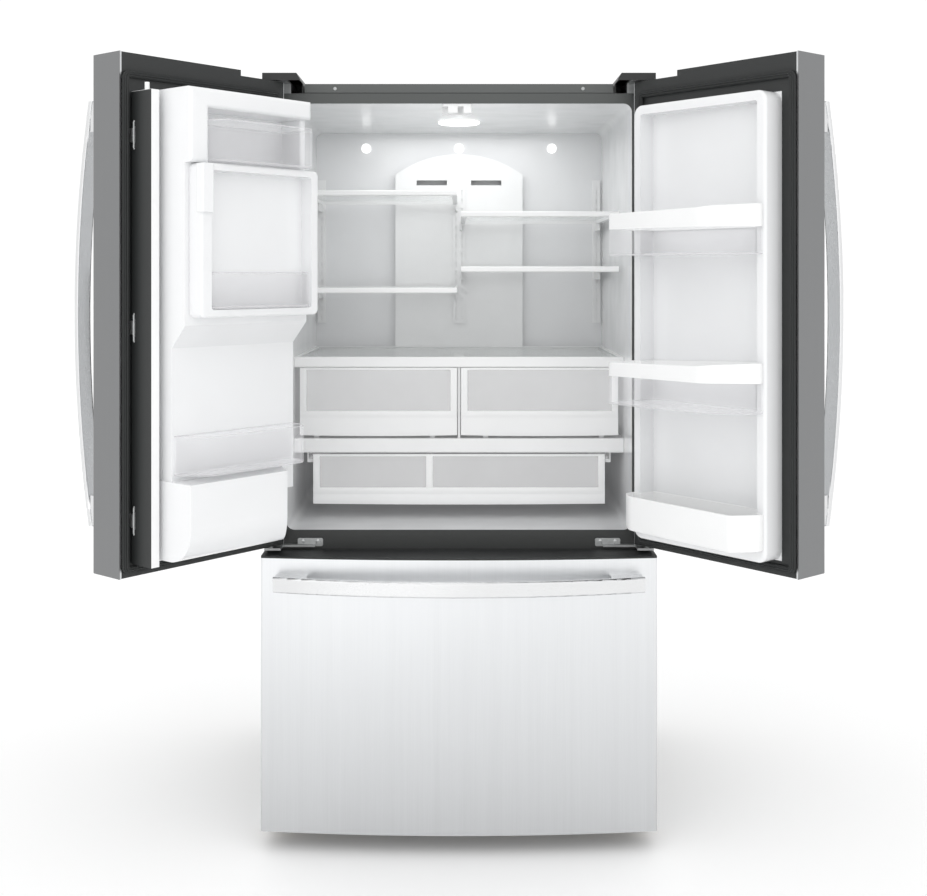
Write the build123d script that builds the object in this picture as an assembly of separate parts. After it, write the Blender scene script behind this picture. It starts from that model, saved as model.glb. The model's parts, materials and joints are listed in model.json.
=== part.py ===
from build123d import *
import math
import os

# French door refrigerator, in millimetres. X to the right, Y to the back, Z up.
# The origin is on the floor at mid width, in the plane of the case's front flange.
# The two doors stand open, the freezer drawer is closed.

# ---- driving dimensions: case ----
case_width = 908.0          # painted case, side to side
case_depth = 740.0          # front flange to back panel
case_top = 1743.0           # top of the case above the floor
case_bottom = 45.0          # underside of the insulated box
side_wall = 47.0            # case side to liner face
top_wall = 24.0             # case top to ceiling
sheet = 1.2                 # painted steel sheet
liner_wall = 2.5            # moulded liners
fresh_depth = 650.0         # front flange to the fresh food rear wall
fresh_floor = 716.0         # fresh food floor above the room's floor
freezer_ceiling = 640.0     # top of the freezer space
freezer_floor = 100.0
freezer_depth = 600.0
machine_room_depth = 235.0  # compressor room at the lower back
machine_room_top = 290.0
machine_side = 22.0         # foam beside the compressor room
foam_behind = 25.0          # foam between freezer liner and machine room

# ---- driving dimensions: doors and drawer front ----
front_set = 84.0            # outer face at the case corners, ahead of the flange
front_bow = 26.0            # how far the fronts bow out at mid width
door_bottom = 690.0
door_rise = 34.0            # door top above the case top
door_gap = 4.0              # between the two closed doors
door_angle = 130.0          # opening angle of both doors
flange_gap = 13.0           # door back to flange, filled by the gasket
gasket_gap = 0.4            # gasket stops short of the flange
gasket_width = 16.0
skin_wall = 1.2
frame_wall = 4.0            # charcoal frame behind the door's rim
cap_height = 24.0           # end caps
corner_round = 8.0
edge_round = 5.0
pin_inset = 17.0            # hinge pin in from the case side
pin_ahead = 38.5            # hinge pin ahead of the flange
pin_diameter = 12.0
pin_fit = 0.4               # radial clearance of the pins
step_length = 112.0         # lowered door top under the hinge cover
step_drop = 13.0
drawer_bottom = 43.0
drawer_top = 672.0
handle_width = 35.0
handle_thick = 13.0
handle_bow = 52.0
handle_reach = 45.0         # bar ends ahead of the nominal front corner
door_handle_inset = 33.0    # handle middle in from the door's free end
door_handle_bottom = 92.0   # above the door's bottom
door_handle_top = 92.0      # below the door's top
door_handle_foot = 65.0
drawer_handle_inset = 34.0  # bar end in from the drawer's end
drawer_handle_drop = 55.5   # bar middle below the drawer's top
drawer_handle_foot = 75.0

# ---- driving dimensions: door linings ----
dike_start = 31.0           # lining's hinge side, from the pin
dike_depth = 56.0           # right lining's raised rim, from the door's back
dike_width = 21.0
dike_top_drop = 21.0        # lining top below the ceiling
dike_bottom_rise = 6.0      # lining bottom above the fresh food floor
right_free_inset = 41.0     # right lining's free side, in from the free end
left_free_inset = 53.0      # left housing's free side, in from the free end
mould_wall = 3.0
ice_depth = 136.0           # ice compartment housing, from the door's back
ice_top_drop = 174.0        # top of the ice compartment below the ceiling
ice_height = 324.0
ice_door_thick = 40.0
middle_depth = 93.0         # housing behind the dispenser
shoulder_drop = 55.0        # slope under the ice compartment
bulge_depth = 161.0
bulge_height = 163.0
bin_wall = 3.0
small_gap = 0.4             # between seated pieces
run_gap = 1.0               # between sliding pieces

# ---- driving dimensions: shelves and drawers inside ----
left_shelf_front = 175.0
right_shelf_front = 150.0
shelf_back = 600.0
shelf_thick = 14.0
glass_thick = 4.0
left_shelf_drops = (206.0, 449.0)    # shelf undersides below the ceiling
right_shelf_drops = (260.0, 396.0)
full_shelf_rise = 371.0     # underside above the fresh food floor
full_shelf_thick = 26.0
crisper_rise = 204.0
crisper_height = 166.0
crisper_band = 60.0
crisper_outer_gap = 14.0
crisper_centre_gap = 5.0
crisper_depth = 420.0
deli_cover_rise = 160.0
deli_cover_thick = 36.0
deli_rise = 35.0
deli_height = 122.0
deli_band = 40.0
deli_outer_gap = 47.0
deli_depth = 420.0
deli_split = -73.0          # divider, left of the middle
drawer_wall = 3.0
ladder_width = 34.0
ladder_thick = 6.0
ladder_low_drop = 540.0
ladder_high_drop = 134.0
duct_half = 180.0
duct_thick = 31.0
basket_wall = 4.0

# ---- worked out from the dimensions above ----
half_case = case_width / 2
half_inner = half_case - side_wall
ceiling = case_top - top_wall
door_top = case_top + door_rise
bow_radius = (half_case ** 2 + front_bow ** 2) / (2 * front_bow)
pin_x = half_case - pin_inset
hinge_end = -pin_inset                       # in the door's frame
free_end = pin_x - door_gap / 2
door_back = pin_ahead - flange_gap
flange_y = float(pin_ahead)                  # case flange, in the door's frame
bow_centre = bow_radius - (front_set + front_bow) + pin_ahead
gasket_face = flange_y - gasket_gap
lining_top = ceiling - dike_top_drop
lining_bottom = fresh_floor + dike_bottom_rise
left_free = free_end - left_free_inset
right_free = free_end - right_free_inset
frame_front = door_back - frame_wall
ice_top = ceiling - ice_top_drop
ice_bottom = ice_top - ice_height
ice_face = door_back + ice_depth
middle_face = door_back + middle_depth
bulge_face = door_back + bulge_depth
crest = door_back + dike_depth
freezer_low_depth = case_depth - machine_room_depth - foam_behind

# flap on the left door's free edge
flap_pivot_inset = 26.0     # pivot in from the free end
flap_width = 68.0
flap_thick = 22.0
flap_offset = 10.0          # flap edge past its pivot
flap_notch = 18.0
pivot_x = free_end - flap_pivot_inset
flap_bottom = fresh_floor + 3.0
flap_top = ceiling - 24.0
flap_pin_top = ceiling - 7.0
flap_pin_diameter = 10.0

# smaller sizes of single pieces
base_front = 25.0
base_bottom = 25.0
base_sheet = 2.0
grille_thick = 8.0
foot_inset = 52.0
foot_y = 70.0
foot_pad = 42.0
foot_pad_height = 9.0
roller_width = 24.0
roller_diameter = 42.0
roller_y = 690.0
roller_axle_z = roller_diameter / 2
roller_axle = 8.0
vent_rows = 7
vent_start = 26.0
vent_pitch = 22.0
vent_height = 7.0
vent_half = 230.0
trim_depth = 60.0
trim_height = 23.0
screw_x = 292.0
cover_length = 87.0
cover_ahead = 62.0
cover_back = 128.0
cover_top = case_top + 39.0
cover_wall = 2.0
plate_z = case_top + 23.0
bracket_thick = 5.0
pin_depth = 18.0
plate_in = half_case - 134.0
plate_long = 59.0
plate_low = 678.0
plate_high = 19.0
plate_screws = (9.0, 50.0)
hinge_plate = 3.2
arm_bottom = 678.0
pin_out = 11.0
pin_along = 30.0
guide_half = 30.0
guide_depth = 46.0
guide_bottom = ceiling - 21.0
slot_pitch = 25.4
shelf_rim_width = 12.0
duct_top_drop = 120.0
duct_arch = 58.0
dome_y = 370.0
dome_diameter = 110.0
lens_spread = 265.0
lens_drop = 43.0
lens_diameter = 26.0
compressor_x = 230.0
compressor_y = case_depth - machine_room_depth / 2
compressor_radius = 82.0
compressor_height = 170.0
condenser_x = (-330.0, -110.0)
fan_x = -86.0
fan_radius = 70.0
evaporator_thick = 60.0
evaporator_fan_z = machine_room_top + foam_behind + 235
box_x = -60.0
valve_x = -370.0
stub_out = 22.0
stub_diameter = 12.0
stub_bore = 6.35
hem_width = 5.0
door_front_extra = 19.0
handle_root = 60.0
middle_low = lining_bottom + 120.0
bulge_round = 70.0
lining_round = 22.0         # corners of the door linings
auger_y = (door_back + 40 + ice_face) / 2
auger_z = ice_bottom + 70.0
dispenser_x0 = 108.0
dispenser_x1 = free_end - 105.0
dispenser_bottom = ice_bottom - 250.0
dispenser_top = ice_bottom + 95.0
dispenser_back = door_back + 6.0
panel_height = 92.0
bezel_proud = 1.5
nozzle_y = -24.0
paddle_y = 8.0
bin_face = 177.0
bin_height = 99.0
right_bin_drop = 262.0
right_bin_rise = 413.0
deli_half = half_inner - deli_outer_gap
flange_wide = 11.0
deli_flange_drop = 14.0
rail_gap = 14.0
rail_front = 20.0
rail_bottom = 250.0
rail_height = 30.0
ledge_height = 14.0
bin_front = 14.0
upper_basket_bottom = 400.0


def block(x0, x1, y0, y1, z0, z1):
    """Box between two corners."""
    return Pos((x0 + x1) / 2, (y0 + y1) / 2, (z0 + z1) / 2) * Box(x1 - x0, y1 - y0, z1 - z0)


def rounded(x0, x1, y0, y1, z0, z1, radius, axis=Axis.Z):
    """Box with its edges along one axis rounded."""
    shape = block(x0, x1, y0, y1, z0, z1)
    return fillet(shape.edges().filter_by(axis), radius)


def rim_rounded(shape, radius, axis=Axis.Y):
    """Rounds the edges of the face that lies furthest along an axis."""
    return fillet(shape.faces().sort_by(axis)[-1].edges(), radius)


def rod(x, y, z0, z1, diameter):
    """Upright rod."""
    return Pos(x, y, (z0 + z1) / 2) * Cylinder(diameter / 2, z1 - z0)


def cross_rod(x0, x1, y, z, diameter):
    """Rod along X."""
    return Pos((x0 + x1) / 2, y, z) * Rot(0, 90, 0) * Cylinder(diameter / 2, x1 - x0)


def depth_rod(x, y0, y1, z, diameter):
    """Rod along Y."""
    return Pos(x, (y0 + y1) / 2, z) * Rot(90, 0, 0) * Cylinder(diameter / 2, y1 - y0)


def plan(points, z0, z1):
    """Upright solid on a plan outline."""
    return Pos(0, 0, z0) * extrude(Polygon(*points, align=None), z1 - z0, dir=(0, 0, 1))


def side_solid(points, y0, y1):
    """Solid on an outline drawn in X and Z, from y0 to y1."""
    return Pos(0, y0, 0) * extrude(Plane.XZ * Polygon(*points, align=None), y1 - y0, dir=(0, 1, 0))


def tray(points, z0, z1, wall):
    """Open-topped tray on a plan outline."""
    outline = Polygon(*points, align=None)
    inside = offset(outline, amount=-wall, kind=Kind.INTERSECTION)
    outer = Pos(0, 0, z0) * extrude(outline, z1 - z0, dir=(0, 0, 1))
    return outer - Pos(0, 0, z0 + wall) * extrude(inside, z1 - z0, dir=(0, 0, 1))


def both_sides(shape):
    """A piece and its mirror image on the other side of the case."""
    return shape + mirror(shape, about=Plane.YZ)


def open_left(shape):
    """Puts a piece of the left door, drawn from the pin, on the open left door."""
    return Pos(-pin_x, -pin_ahead) * Rot(0, 0, -door_angle) * shape


def open_right(shape):
    """Puts a piece of the right door, drawn from the pin, on the open right door."""
    return Pos(pin_x, -pin_ahead) * Rot(0, 0, door_angle) * mirror(shape, about=Plane.YZ)


def save(shape, name):
    """Writes one piece."""
    export_step(shape, "parts/" + name + ".step")


# ------------------------------------------------------------------ cabinet
def machine_room():
    """Space of the compressor room at the lower back."""
    half = half_case - machine_side
    return block(-half, half, case_depth - machine_room_depth, case_depth + 1,
                 case_bottom - 1, machine_room_top)


def fresh_space(wall):
    """Fresh food space, grown by a wall."""
    return rounded(-half_inner - wall, half_inner + wall, -1, fresh_depth + wall,
                   fresh_floor - wall, ceiling + wall, 20 + wall, Axis.Y)


def freezer_space(wall):
    """Freezer space, shallower above the machine room."""
    high = block(-half_inner - wall, half_inner + wall, -1, freezer_depth + wall,
                 machine_room_top + foam_behind - wall, freezer_ceiling + wall)
    low = block(-half_inner - wall, half_inner + wall, -1, freezer_low_depth + wall,
                freezer_floor - wall, machine_room_top + foam_behind + wall)
    return high + low


def case_wrapper():
    """Painted steel case: top, sides and the front flange round both openings."""
    outer = rounded(-half_case, half_case, 0, case_depth - sheet, case_bottom, case_top, 4, Axis.Y)
    inner = block(-half_case + sheet, half_case - sheet, sheet, case_depth + 1,
                  case_bottom - 1, case_top - sheet)
    return outer - inner - fresh_space(0) - freezer_space(0)


def cabinet_foam():
    """Foam between the case and the two liners."""
    body = block(-half_case + sheet, half_case - sheet, sheet, case_depth - sheet,
                 case_bottom, case_top - sheet)
    return body - fresh_space(liner_wall) - freezer_space(liner_wall) - machine_room()


def front_cut():
    """Everything ahead of the back of the flange sheet."""
    return block(-half_case, half_case, -10, sheet, 0, case_top)


def fresh_food_liner():
    return fresh_space(liner_wall) - fresh_space(0) - front_cut()


def freezer_liner():
    """Freezer lining with the two ledges that carry the drawer's rails."""
    shell = freezer_space(liner_wall) - freezer_space(0)
    ledge = block(half_inner - rail_gap, half_inner + 1, rail_front, freezer_low_depth - 10,
                  rail_bottom - ledge_height, rail_bottom - small_gap)
    shelf = block(half_inner - 24, half_inner + 1, rail_front, freezer_depth - evaporator_thick - 10,
                  upper_basket_bottom - small_gap - ledge_height, upper_basket_bottom - small_gap)
    return shell - front_cut() + both_sides(ledge + shelf)


def back_panel():
    """Rear sheet with the machine room's louvres."""
    panel = block(-half_case + sheet, half_case - sheet, case_depth - sheet, case_depth,
                  case_bottom, case_top - sheet)
    slots = Part()
    for row in range(vent_rows):
        z = case_bottom + vent_start + row * vent_pitch
        slots += block(-vent_half, vent_half, case_depth - 5, case_depth + 5, z, z + vent_height)
    inlet = block(box_x + 50 - small_gap, box_x + 78 + small_gap, case_depth - 5, case_depth + 5,
                  case_bottom + 140 - small_gap, case_bottom + 164 + small_gap)
    stub = depth_rod(valve_x, case_depth - 5, case_depth + 5, case_bottom + 43, stub_diameter + 6)
    return panel - slots - inlet - stub


def base_frame():
    """Steel floor pan with folded sides and a compressor shelf."""
    wall = base_sheet
    pan = block(-half_case, half_case, base_front, case_depth - sheet, base_bottom, case_bottom)
    hollow = block(-half_case + wall, half_case - wall, base_front + wall, case_depth - sheet - wall,
                   base_bottom - 1, case_bottom - wall)
    x = half_case - foot_inset
    cheeks = Part()
    for side in (-1, 1):
        edge = x + side * (roller_width / 2 + 3)
        cheeks += block(edge - 2, edge + 2, roller_y - 12, roller_y + 12, roller_axle_z - 8, case_bottom - 1)
    cheeks -= cross_rod(x - 40, x + 40, roller_y, roller_axle_z, roller_axle + 0.6)
    return pan - hollow + both_sides(cheeks)


def base_grille():
    """Dark toe grille under the drawer front."""
    plate = block(-half_case + 20, half_case - 20, base_front - grille_thick, base_front,
                  base_bottom - 13, case_bottom - 3)
    slots = Part()
    for index in range(-12, 13):
        slots += block(index * 32 - 11, index * 32 + 11, base_front - grille_thick - 1, base_front + 1,
                       base_bottom - 6, base_bottom + 10)
    return plate - slots


def levelling_feet():
    """Screw feet under the front corners."""
    x = half_case - foot_inset
    foot = rod(x, foot_y, 0, foot_pad_height, foot_pad) + rod(x, foot_y, 1, case_bottom - base_sheet, 12)
    return both_sides(foot)


def rear_rollers():
    """The two rollers on one line at the lower back."""
    x = half_case - foot_inset
    half = roller_width / 2
    wheel = cross_rod(x - half, x + half, roller_y, roller_axle_z, roller_diameter)
    return both_sides(wheel + cross_rod(x - half - 7, x + half + 7, roller_y, roller_axle_z, roller_axle))


def top_trim_strip():
    """Dark strip along the front of the case top, with two screw heads' seats."""
    length = half_case - cover_length - 4
    strip = rounded(-length, length, 2, trim_depth, case_top, case_top + trim_height, 3, Axis.X)
    seats = both_sides(depth_rod(screw_x, 1, 3.5, case_top + trim_height / 2, 8.6))
    return strip - seats


def screws():
    """Screws of the trim strip and of the centre hinge brackets."""
    heads = both_sides(depth_rod(screw_x, 1.2, 3.4, case_top + trim_height / 2, 8))
    for offset_x in plate_screws:
        heads += both_sides(depth_rod(plate_in + offset_x, -hinge_plate - 2.5, -hinge_plate,
                                      plate_low + plate_high / 2, 8))
    return heads


def top_hinge():
    """Zinc bracket on the case top with the upper hinge pin."""
    plate = block(pin_x - 40, pin_x + 15, -pin_ahead - 16, 110, plate_z, plate_z + bracket_thick)
    pad = block(pin_x - 40, pin_x + 15, 12, 110, case_top, plate_z)
    pin = rod(pin_x, -pin_ahead, door_top - step_drop - pin_depth, plate_z + 1, pin_diameter)
    return plate + pad + pin


def centre_hinge():
    """Zinc bracket on the divider flange with the lower hinge pin."""
    plate = rounded(plate_in, plate_in + plate_long, -hinge_plate, 0, plate_low, plate_low + plate_high,
                    4, Axis.Y)
    arm = block(plate_in + 18, half_case - 3, -pin_ahead - 13, 0, arm_bottom, arm_bottom + bracket_thick)
    arm -= block(plate_in, pin_x - 24, -pin_ahead - 14, -12, 0, fresh_floor)
    pin = rod(pin_x, -pin_ahead, arm_bottom + 1, door_bottom + pin_depth, pin_diameter)
    return plate + arm + pin


def hinge_brackets():
    return both_sides(top_hinge()) + both_sides(centre_hinge())


def hinge_cover():
    """Black cover over a top hinge: a sloping inner end, open underneath."""
    x0 = half_case - cover_length
    wall = cover_wall
    outer = side_solid([(x0 + 8, cover_top), (half_case, cover_top), (half_case, case_top),
                        (x0, case_top), (x0, cover_top - 14)], -cover_ahead, cover_back)
    inner = side_solid([(x0 + 8 + wall, cover_top - wall), (half_case - wall, cover_top - wall),
                        (half_case - wall, case_top - 1), (x0 + wall, case_top - 1),
                        (x0 + wall, cover_top - 14 - wall)], -cover_ahead + wall, cover_back - wall)
    under = block(x0 - 5, half_case + 5, -cover_ahead - 5, 0, case_top - 10, door_top - step_drop + 1.2)
    return outer - inner - under


def flap_guide():
    """Block under the ceiling that turns the flap as the left door closes."""
    pivot = Pos(-pin_x + pivot_x, 0)
    body = rounded(-guide_half - 10, guide_half, 3, guide_depth, guide_bottom, ceiling, 4, Axis.Z)
    reach = math.hypot(pin_out, pin_along)
    ring_sketch = pivot * (Circle(reach + 7) - Circle(reach - 7))
    ring = Pos(0, 0, guide_bottom - 1) * extrude(ring_sketch, flap_pin_top + 1 - guide_bottom + 1)
    entry_x = -pin_x + pivot_x - pin_out
    entry = block(entry_x - 8, entry_x + 13, -1, pin_along + 5, guide_bottom - 1, flap_pin_top + 1)
    return body - ring - entry


def ladder(x, y, thick):
    """Slotted shelf standard."""
    z0 = ceiling - ladder_low_drop
    z1 = ceiling - ladder_high_drop
    half = ladder_width / 2 if abs(x) < 1 else ladder_width / 3
    strip = block(x - half, x + half, y - thick, y, z0, z1)
    slots = Part()
    columns = (-half / 2, half / 2) if abs(x) < 1 else (0,)
    for column in columns:
        for index in range(int((z1 - z0) / slot_pitch)):
            z = z0 + 8 + index * slot_pitch
            slots += block(x + column - 2, x + column + 2, y - thick - 1, y - thick + 4, z, z + 13)
    return strip - slots


def shelf_ladders():
    x = half_inner - ladder_width / 3 - 4
    return (ladder(0, fresh_depth - duct_thick, ladder_thick)
            + both_sides(ladder(x, fresh_depth, ladder_thick)))


def shelf_rim(x0, x1, front, back, z0, thick, rim):
    """White rim of a shelf, with a step that holds its glass."""
    frame = rounded(x0, x1, front, back, z0, z0 + thick, 4, Axis.X)
    frame -= block(x0 + rim, x1 - rim, front + rim, back - rim, z0 - 1, z0 + thick + 1)
    return frame - glass_pane(x0, x1, front, back, z0, thick, rim, 0.2)


def glass_pane(x0, x1, front, back, z0, thick, rim, grow):
    """Glass of a shelf, or its seat when grown."""
    lap = rim / 2 + grow
    top = z0 + thick - 1.5
    return block(x0 + rim - lap, x1 - rim + lap, front + rim - lap, back - rim + lap,
                 top - glass_thick, top + (5 if grow else 0))


def half_shelf_places():
    """Corner places of the four half shelves: x0, x1, front, underside."""
    outer = half_inner - 12
    places = []
    for drop in left_shelf_drops:
        places.append((-outer, -5.0, left_shelf_front, ceiling - drop))
    for drop in right_shelf_drops:
        places.append((5.0, outer, right_shelf_front, ceiling - drop))
    return places


def half_shelves():
    """White shelf rims with the hooks that hang them on the ladders."""
    shelves = Part()
    for x0, x1, front, z0 in half_shelf_places():
        shelves += shelf_rim(x0, x1, front, shelf_back, z0, shelf_thick, shelf_rim_width)
        inner, outer = (x1, x0) if x1 < 0 else (x0, x1)
        way = 1 if inner > 0 else -1
        low = z0 - 20
        inner_hook = sorted((inner, inner + way * 4))
        outer_hook = sorted((outer - way * 8, outer - way * 4))
        shelves += block(*inner_hook, shelf_back - 60, fresh_depth - duct_thick - ladder_thick - small_gap,
                         low, z0 + 6)
        shelves += block(*outer_hook, shelf_back - 60, fresh_depth - ladder_thick - small_gap, low, z0 + 6)
    return shelves


def shelf_glass():
    panes = Part()
    for x0, x1, front, z0 in half_shelf_places():
        panes += glass_pane(x0, x1, front, shelf_back, z0, shelf_thick, shelf_rim_width, 0)
    return panes + glass_pane(*full_shelf_box(), 0)


def full_shelf_box():
    x = half_inner - small_gap
    return (-x, x, right_shelf_front, fresh_depth - duct_thick - 2, fresh_floor + full_shelf_rise,
            full_shelf_thick, 22.0)


def full_shelf():
    """Full-width crisper cover, and the upright panel under its middle, between the crispers."""
    frame = shelf_rim(*full_shelf_box())
    z0 = fresh_floor + full_shelf_rise
    half = crisper_centre_gap - 2
    web = block(-half, half, right_shelf_front + 6, right_shelf_front + crisper_depth,
                fresh_floor + deli_cover_rise + deli_cover_thick + small_gap, z0 - small_gap)
    beam = block(-14, 14, right_shelf_front + 10, fresh_depth - duct_thick - 4, z0, z0 + 8)
    return frame + beam + web


def deli_cover():
    """Cover over the deli drawer: crisper runners on top, drawer rails below."""
    z0 = fresh_floor + deli_cover_rise
    z1 = z0 + deli_cover_thick
    x = half_inner - small_gap
    cover = rounded(-x, x, right_shelf_front, fresh_depth - duct_thick - 2, z1 - 8, z1, 3, Axis.X)
    cover += rounded(-x, x, right_shelf_front, right_shelf_front + 14, z0, z1, 5, Axis.X)
    runner = Part()
    for place in (60.0, half_inner - 60.0):
        runner += block(place, place + 12, right_shelf_front + 14, right_shelf_front + crisper_depth + 40,
                        z1 - 1, fresh_floor + crisper_rise - small_gap)
    rail_x = deli_half + flange_wide + run_gap + 1
    web = block(rail_x, rail_x + 3, right_shelf_front + 15, right_shelf_front + deli_depth + 30,
                fresh_floor + deli_rise + deli_height - deli_flange_drop - 8, z1 - 4)
    lip = block(deli_half + 3, rail_x + 1, right_shelf_front + 15, right_shelf_front + deli_depth + 30,
                fresh_floor + deli_rise + deli_height - deli_flange_drop - 8,
                fresh_floor + deli_rise + deli_height - deli_flange_drop - small_gap)
    return cover + both_sides(runner) + both_sides(web + lip)


def air_duct_cover():
    """Rear duct cover with an arched top and a vent slot."""
    y0 = fresh_depth - duct_thick
    low = fresh_floor + deli_cover_rise + deli_cover_thick + 15
    high = ceiling - duct_top_drop
    body = block(-duct_half, duct_half, y0, fresh_depth, low, high)
    radius = (duct_half ** 2 + duct_arch ** 2) / (2 * duct_arch)
    dome = Pos(0, (y0 + fresh_depth) / 2, high + duct_arch - radius) * Rot(90, 0, 0) \
        * Cylinder(radius, duct_thick)
    body += dome & block(-duct_half, duct_half, y0, fresh_depth, high - 2, ceiling)
    hollow = block(-duct_half + 4, duct_half - 4, y0 + 4, fresh_depth + 1, low + 4, high - 4)
    slots = Part()
    for x0, x1 in ((-120.0, -34.0), (34.0, 120.0)):
        slots += block(x0, x1, y0 - 1, y0 + 10, high - 30, high - 16)
    return body - hollow - slots


def light_lenses():
    """Ceiling dome and three small lenses high on the rear wall."""
    dome = Pos(0, dome_y, ceiling - 3) * Cylinder(dome_diameter / 2, 6)
    dome = fillet(dome.edges().sort_by(Axis.Z)[0], 4)
    lenses = Part() + dome
    for x in (-lens_spread, 0.0, lens_spread):
        lenses += depth_rod(x, fresh_depth - 5, fresh_depth, ceiling - lens_drop, lens_diameter)
    return lenses


# ------------------------------------------------------------------ machine parts
def compressor():
    """Domed compressor shell on four rubber-footed legs."""
    z0 = case_bottom + 12
    shell = Pos(compressor_x, compressor_y, z0) * Cylinder(compressor_radius, compressor_height,
                                                          align=(Align.CENTER, Align.CENTER, Align.MIN))
    shell = fillet(shell.edges(), 28)
    feet = block(compressor_x - 100, compressor_x + 100, compressor_y - 62, compressor_y + 62, z0, z0 + 3)
    legs = Part()
    for dx in (-88, 88):
        for dy in (-50, 50):
            legs += rod(compressor_x + dx, compressor_y + dy, case_bottom, z0 + 1, 22)
    return shell + feet + legs


def condenser():
    """Condenser coil block with side plates."""
    x0, x1 = condenser_x
    y0 = case_depth - machine_room_depth + 25
    y1 = case_depth - 35
    body = block(x0, x0 + 4, y0, y1, case_bottom, machine_room_top - 30)
    body += block(x1 - 4, x1, y0, y1, case_bottom, machine_room_top - 30)
    for row in range(5):
        z = case_bottom + 30 + row * 40
        for column in range(4):
            y = y0 + 25 + column * 42
            body += cross_rod(x0 + 2, x1 - 2, y, z, 9)
    y = case_depth - machine_room_depth / 2
    motor = cross_rod(fan_x + 11.3, fan_x + 34, y, case_bottom + 110, 44)
    motor += block(fan_x + 20, fan_x + 30, y - 18, y + 18, case_bottom, case_bottom + 100)
    return body + motor


def fan(x, y, z, radius, tilt):
    """Five-bladed fan with its hub."""
    blades = Part() + Cylinder(radius * 0.22, 22)
    for index in range(5):
        blade = Pos(radius * 0.58, 0, 0) * Rot(32, 0, 0) * Box(radius * 0.8, radius * 0.5, 2.2)
        blades += Rot(0, 0, index * 72) * blade
    return Pos(x, y, z) * Rot(*tilt) * blades


def condenser_fan():
    return fan(fan_x, case_depth - machine_room_depth / 2, case_bottom + 110, fan_radius, (0, 90, 0))


def evaporator():
    """Finned evaporator standing behind the freezer's rear cover."""
    y0 = freezer_depth - evaporator_thick
    z0 = machine_room_top + foam_behind + 15
    body = Part()
    for index in range(-9, 10):
        body += block(index * 26 - 1, index * 26 + 1, y0, freezer_depth - 6, z0, z0 + 140)
    for row in range(3):
        body += cross_rod(-250, 250, y0 + 18, z0 + 30 + row * 40, 9)
    for x in (-235, 235):
        body += block(x - 6, x + 6, freezer_depth - 7, freezer_depth, z0 + 20, z0 + 120)
    motor = depth_rod(0, freezer_depth - evaporator_thick / 2 + 11.3, freezer_depth, evaporator_fan_z, 40)
    return body + motor


def evaporator_fan():
    return fan(0, freezer_depth - evaporator_thick / 2, evaporator_fan_z, fan_radius * 0.8, (90, 0, 0))


def control_box():
    """Mains control box on the back, with its inlet socket."""
    y1 = case_depth - sheet
    box = rounded(box_x, box_x + 130, y1 - 55, y1, case_bottom + 95, case_bottom + 215, 6, Axis.Y)
    inlet = block(box_x + 50, box_x + 78, y1 - 25, case_depth + 2, case_bottom + 140, case_bottom + 164)
    socket = block(box_x + 53, box_x + 75, y1 - 12, case_depth + 5, case_bottom + 143, case_bottom + 161)
    return box + inlet - socket


def water_valve():
    """Water inlet valve with its threaded quarter-inch stub."""
    y1 = case_depth - sheet
    body = block(valve_x - 28, valve_x + 28, y1 - 42, y1 - 6, case_bottom + 20, case_bottom + 66)
    plate = block(valve_x - 34, valve_x + 34, y1 - 6, y1, case_bottom + 12, case_bottom + 74)
    stub = depth_rod(valve_x, y1 - 7, case_depth + stub_out, case_bottom + 43, stub_diameter)
    bore = depth_rod(valve_x, case_depth - 20, case_depth + stub_out + 1, case_bottom + 43, stub_bore)
    return body + plate + stub - bore


# ------------------------------------------------------------------ doors
def door_slab(inset, back, z0, z1):
    """Slab on the door's plan section: bowed front, rounded front corners."""
    strip = Pos((hinge_end + free_end) / 2, (back - 200) / 2) \
        * Rectangle(free_end - hinge_end - 2 * inset, back + 200)
    section = strip & (Pos(pin_x, bow_centre) * Circle(bow_radius - inset))
    corners = section.vertices().sort_by(Axis.Y)[:2]
    section = fillet(corners, corner_round - inset)
    return Pos(0, 0, z0) * extrude(section, z1 - z0)


def top_step(lower):
    """Space over the lowered door top at the hinge."""
    return block(hinge_end - 5, step_length, -200, 60, door_top - step_drop - lower, door_top + 5)


def dispenser_hole(extra):
    """Opening for the dispenser in the left door's front."""
    return block(dispenser_x0 - extra, dispenser_x1 + extra, -200, dispenser_back + extra,
                 dispenser_bottom - extra, dispenser_top + extra)


def door_skin(has_dispenser):
    """Steel skin: bowed front, both ends, and a narrow hem at the back of the free end."""
    outer = door_slab(0, door_back, door_bottom, door_top)
    inner = door_slab(skin_wall, door_back + 1, door_bottom - 1, door_top + 1)
    hem = block(free_end - hem_width, free_end - skin_wall / 2, door_back - skin_wall, door_back,
                door_bottom, door_top)
    skin = outer - inner + hem - top_step(0)
    if has_dispenser:
        skin -= dispenser_hole(0)
    return skin


def door_frame(lining_free):
    """Charcoal frame: end caps and the rim behind which the lining sits."""
    top = door_slab(skin_wall, door_back, door_top - step_drop - cap_height, door_top - 1) - top_step(1)
    bottom = door_slab(skin_wall, door_back, door_bottom + 1, door_bottom + cap_height)
    rim = block(hinge_end + skin_wall, free_end - skin_wall, frame_front, door_back,
                door_bottom + 2, door_top - step_drop - 2)
    rim -= block(dike_start, lining_free, frame_front - 1, door_back + 1, lining_bottom, lining_top)
    hem = block(free_end - hem_width, free_end, door_back - skin_wall, door_back + 1,
                door_bottom, door_top)
    bore = pin_diameter + 2 * pin_fit
    holes = rod(0, 0, door_top - step_drop - pin_depth - 1, door_top, bore)
    holes += rod(0, 0, door_bottom, door_bottom + pin_depth + 1, bore)
    return top + bottom + rim - hem - holes


def door_core():
    """Foam behind the skin, before the lining's own foam is added."""
    return door_slab(skin_wall, frame_front, door_bottom + cap_height, door_top - step_drop - cap_height)


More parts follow.
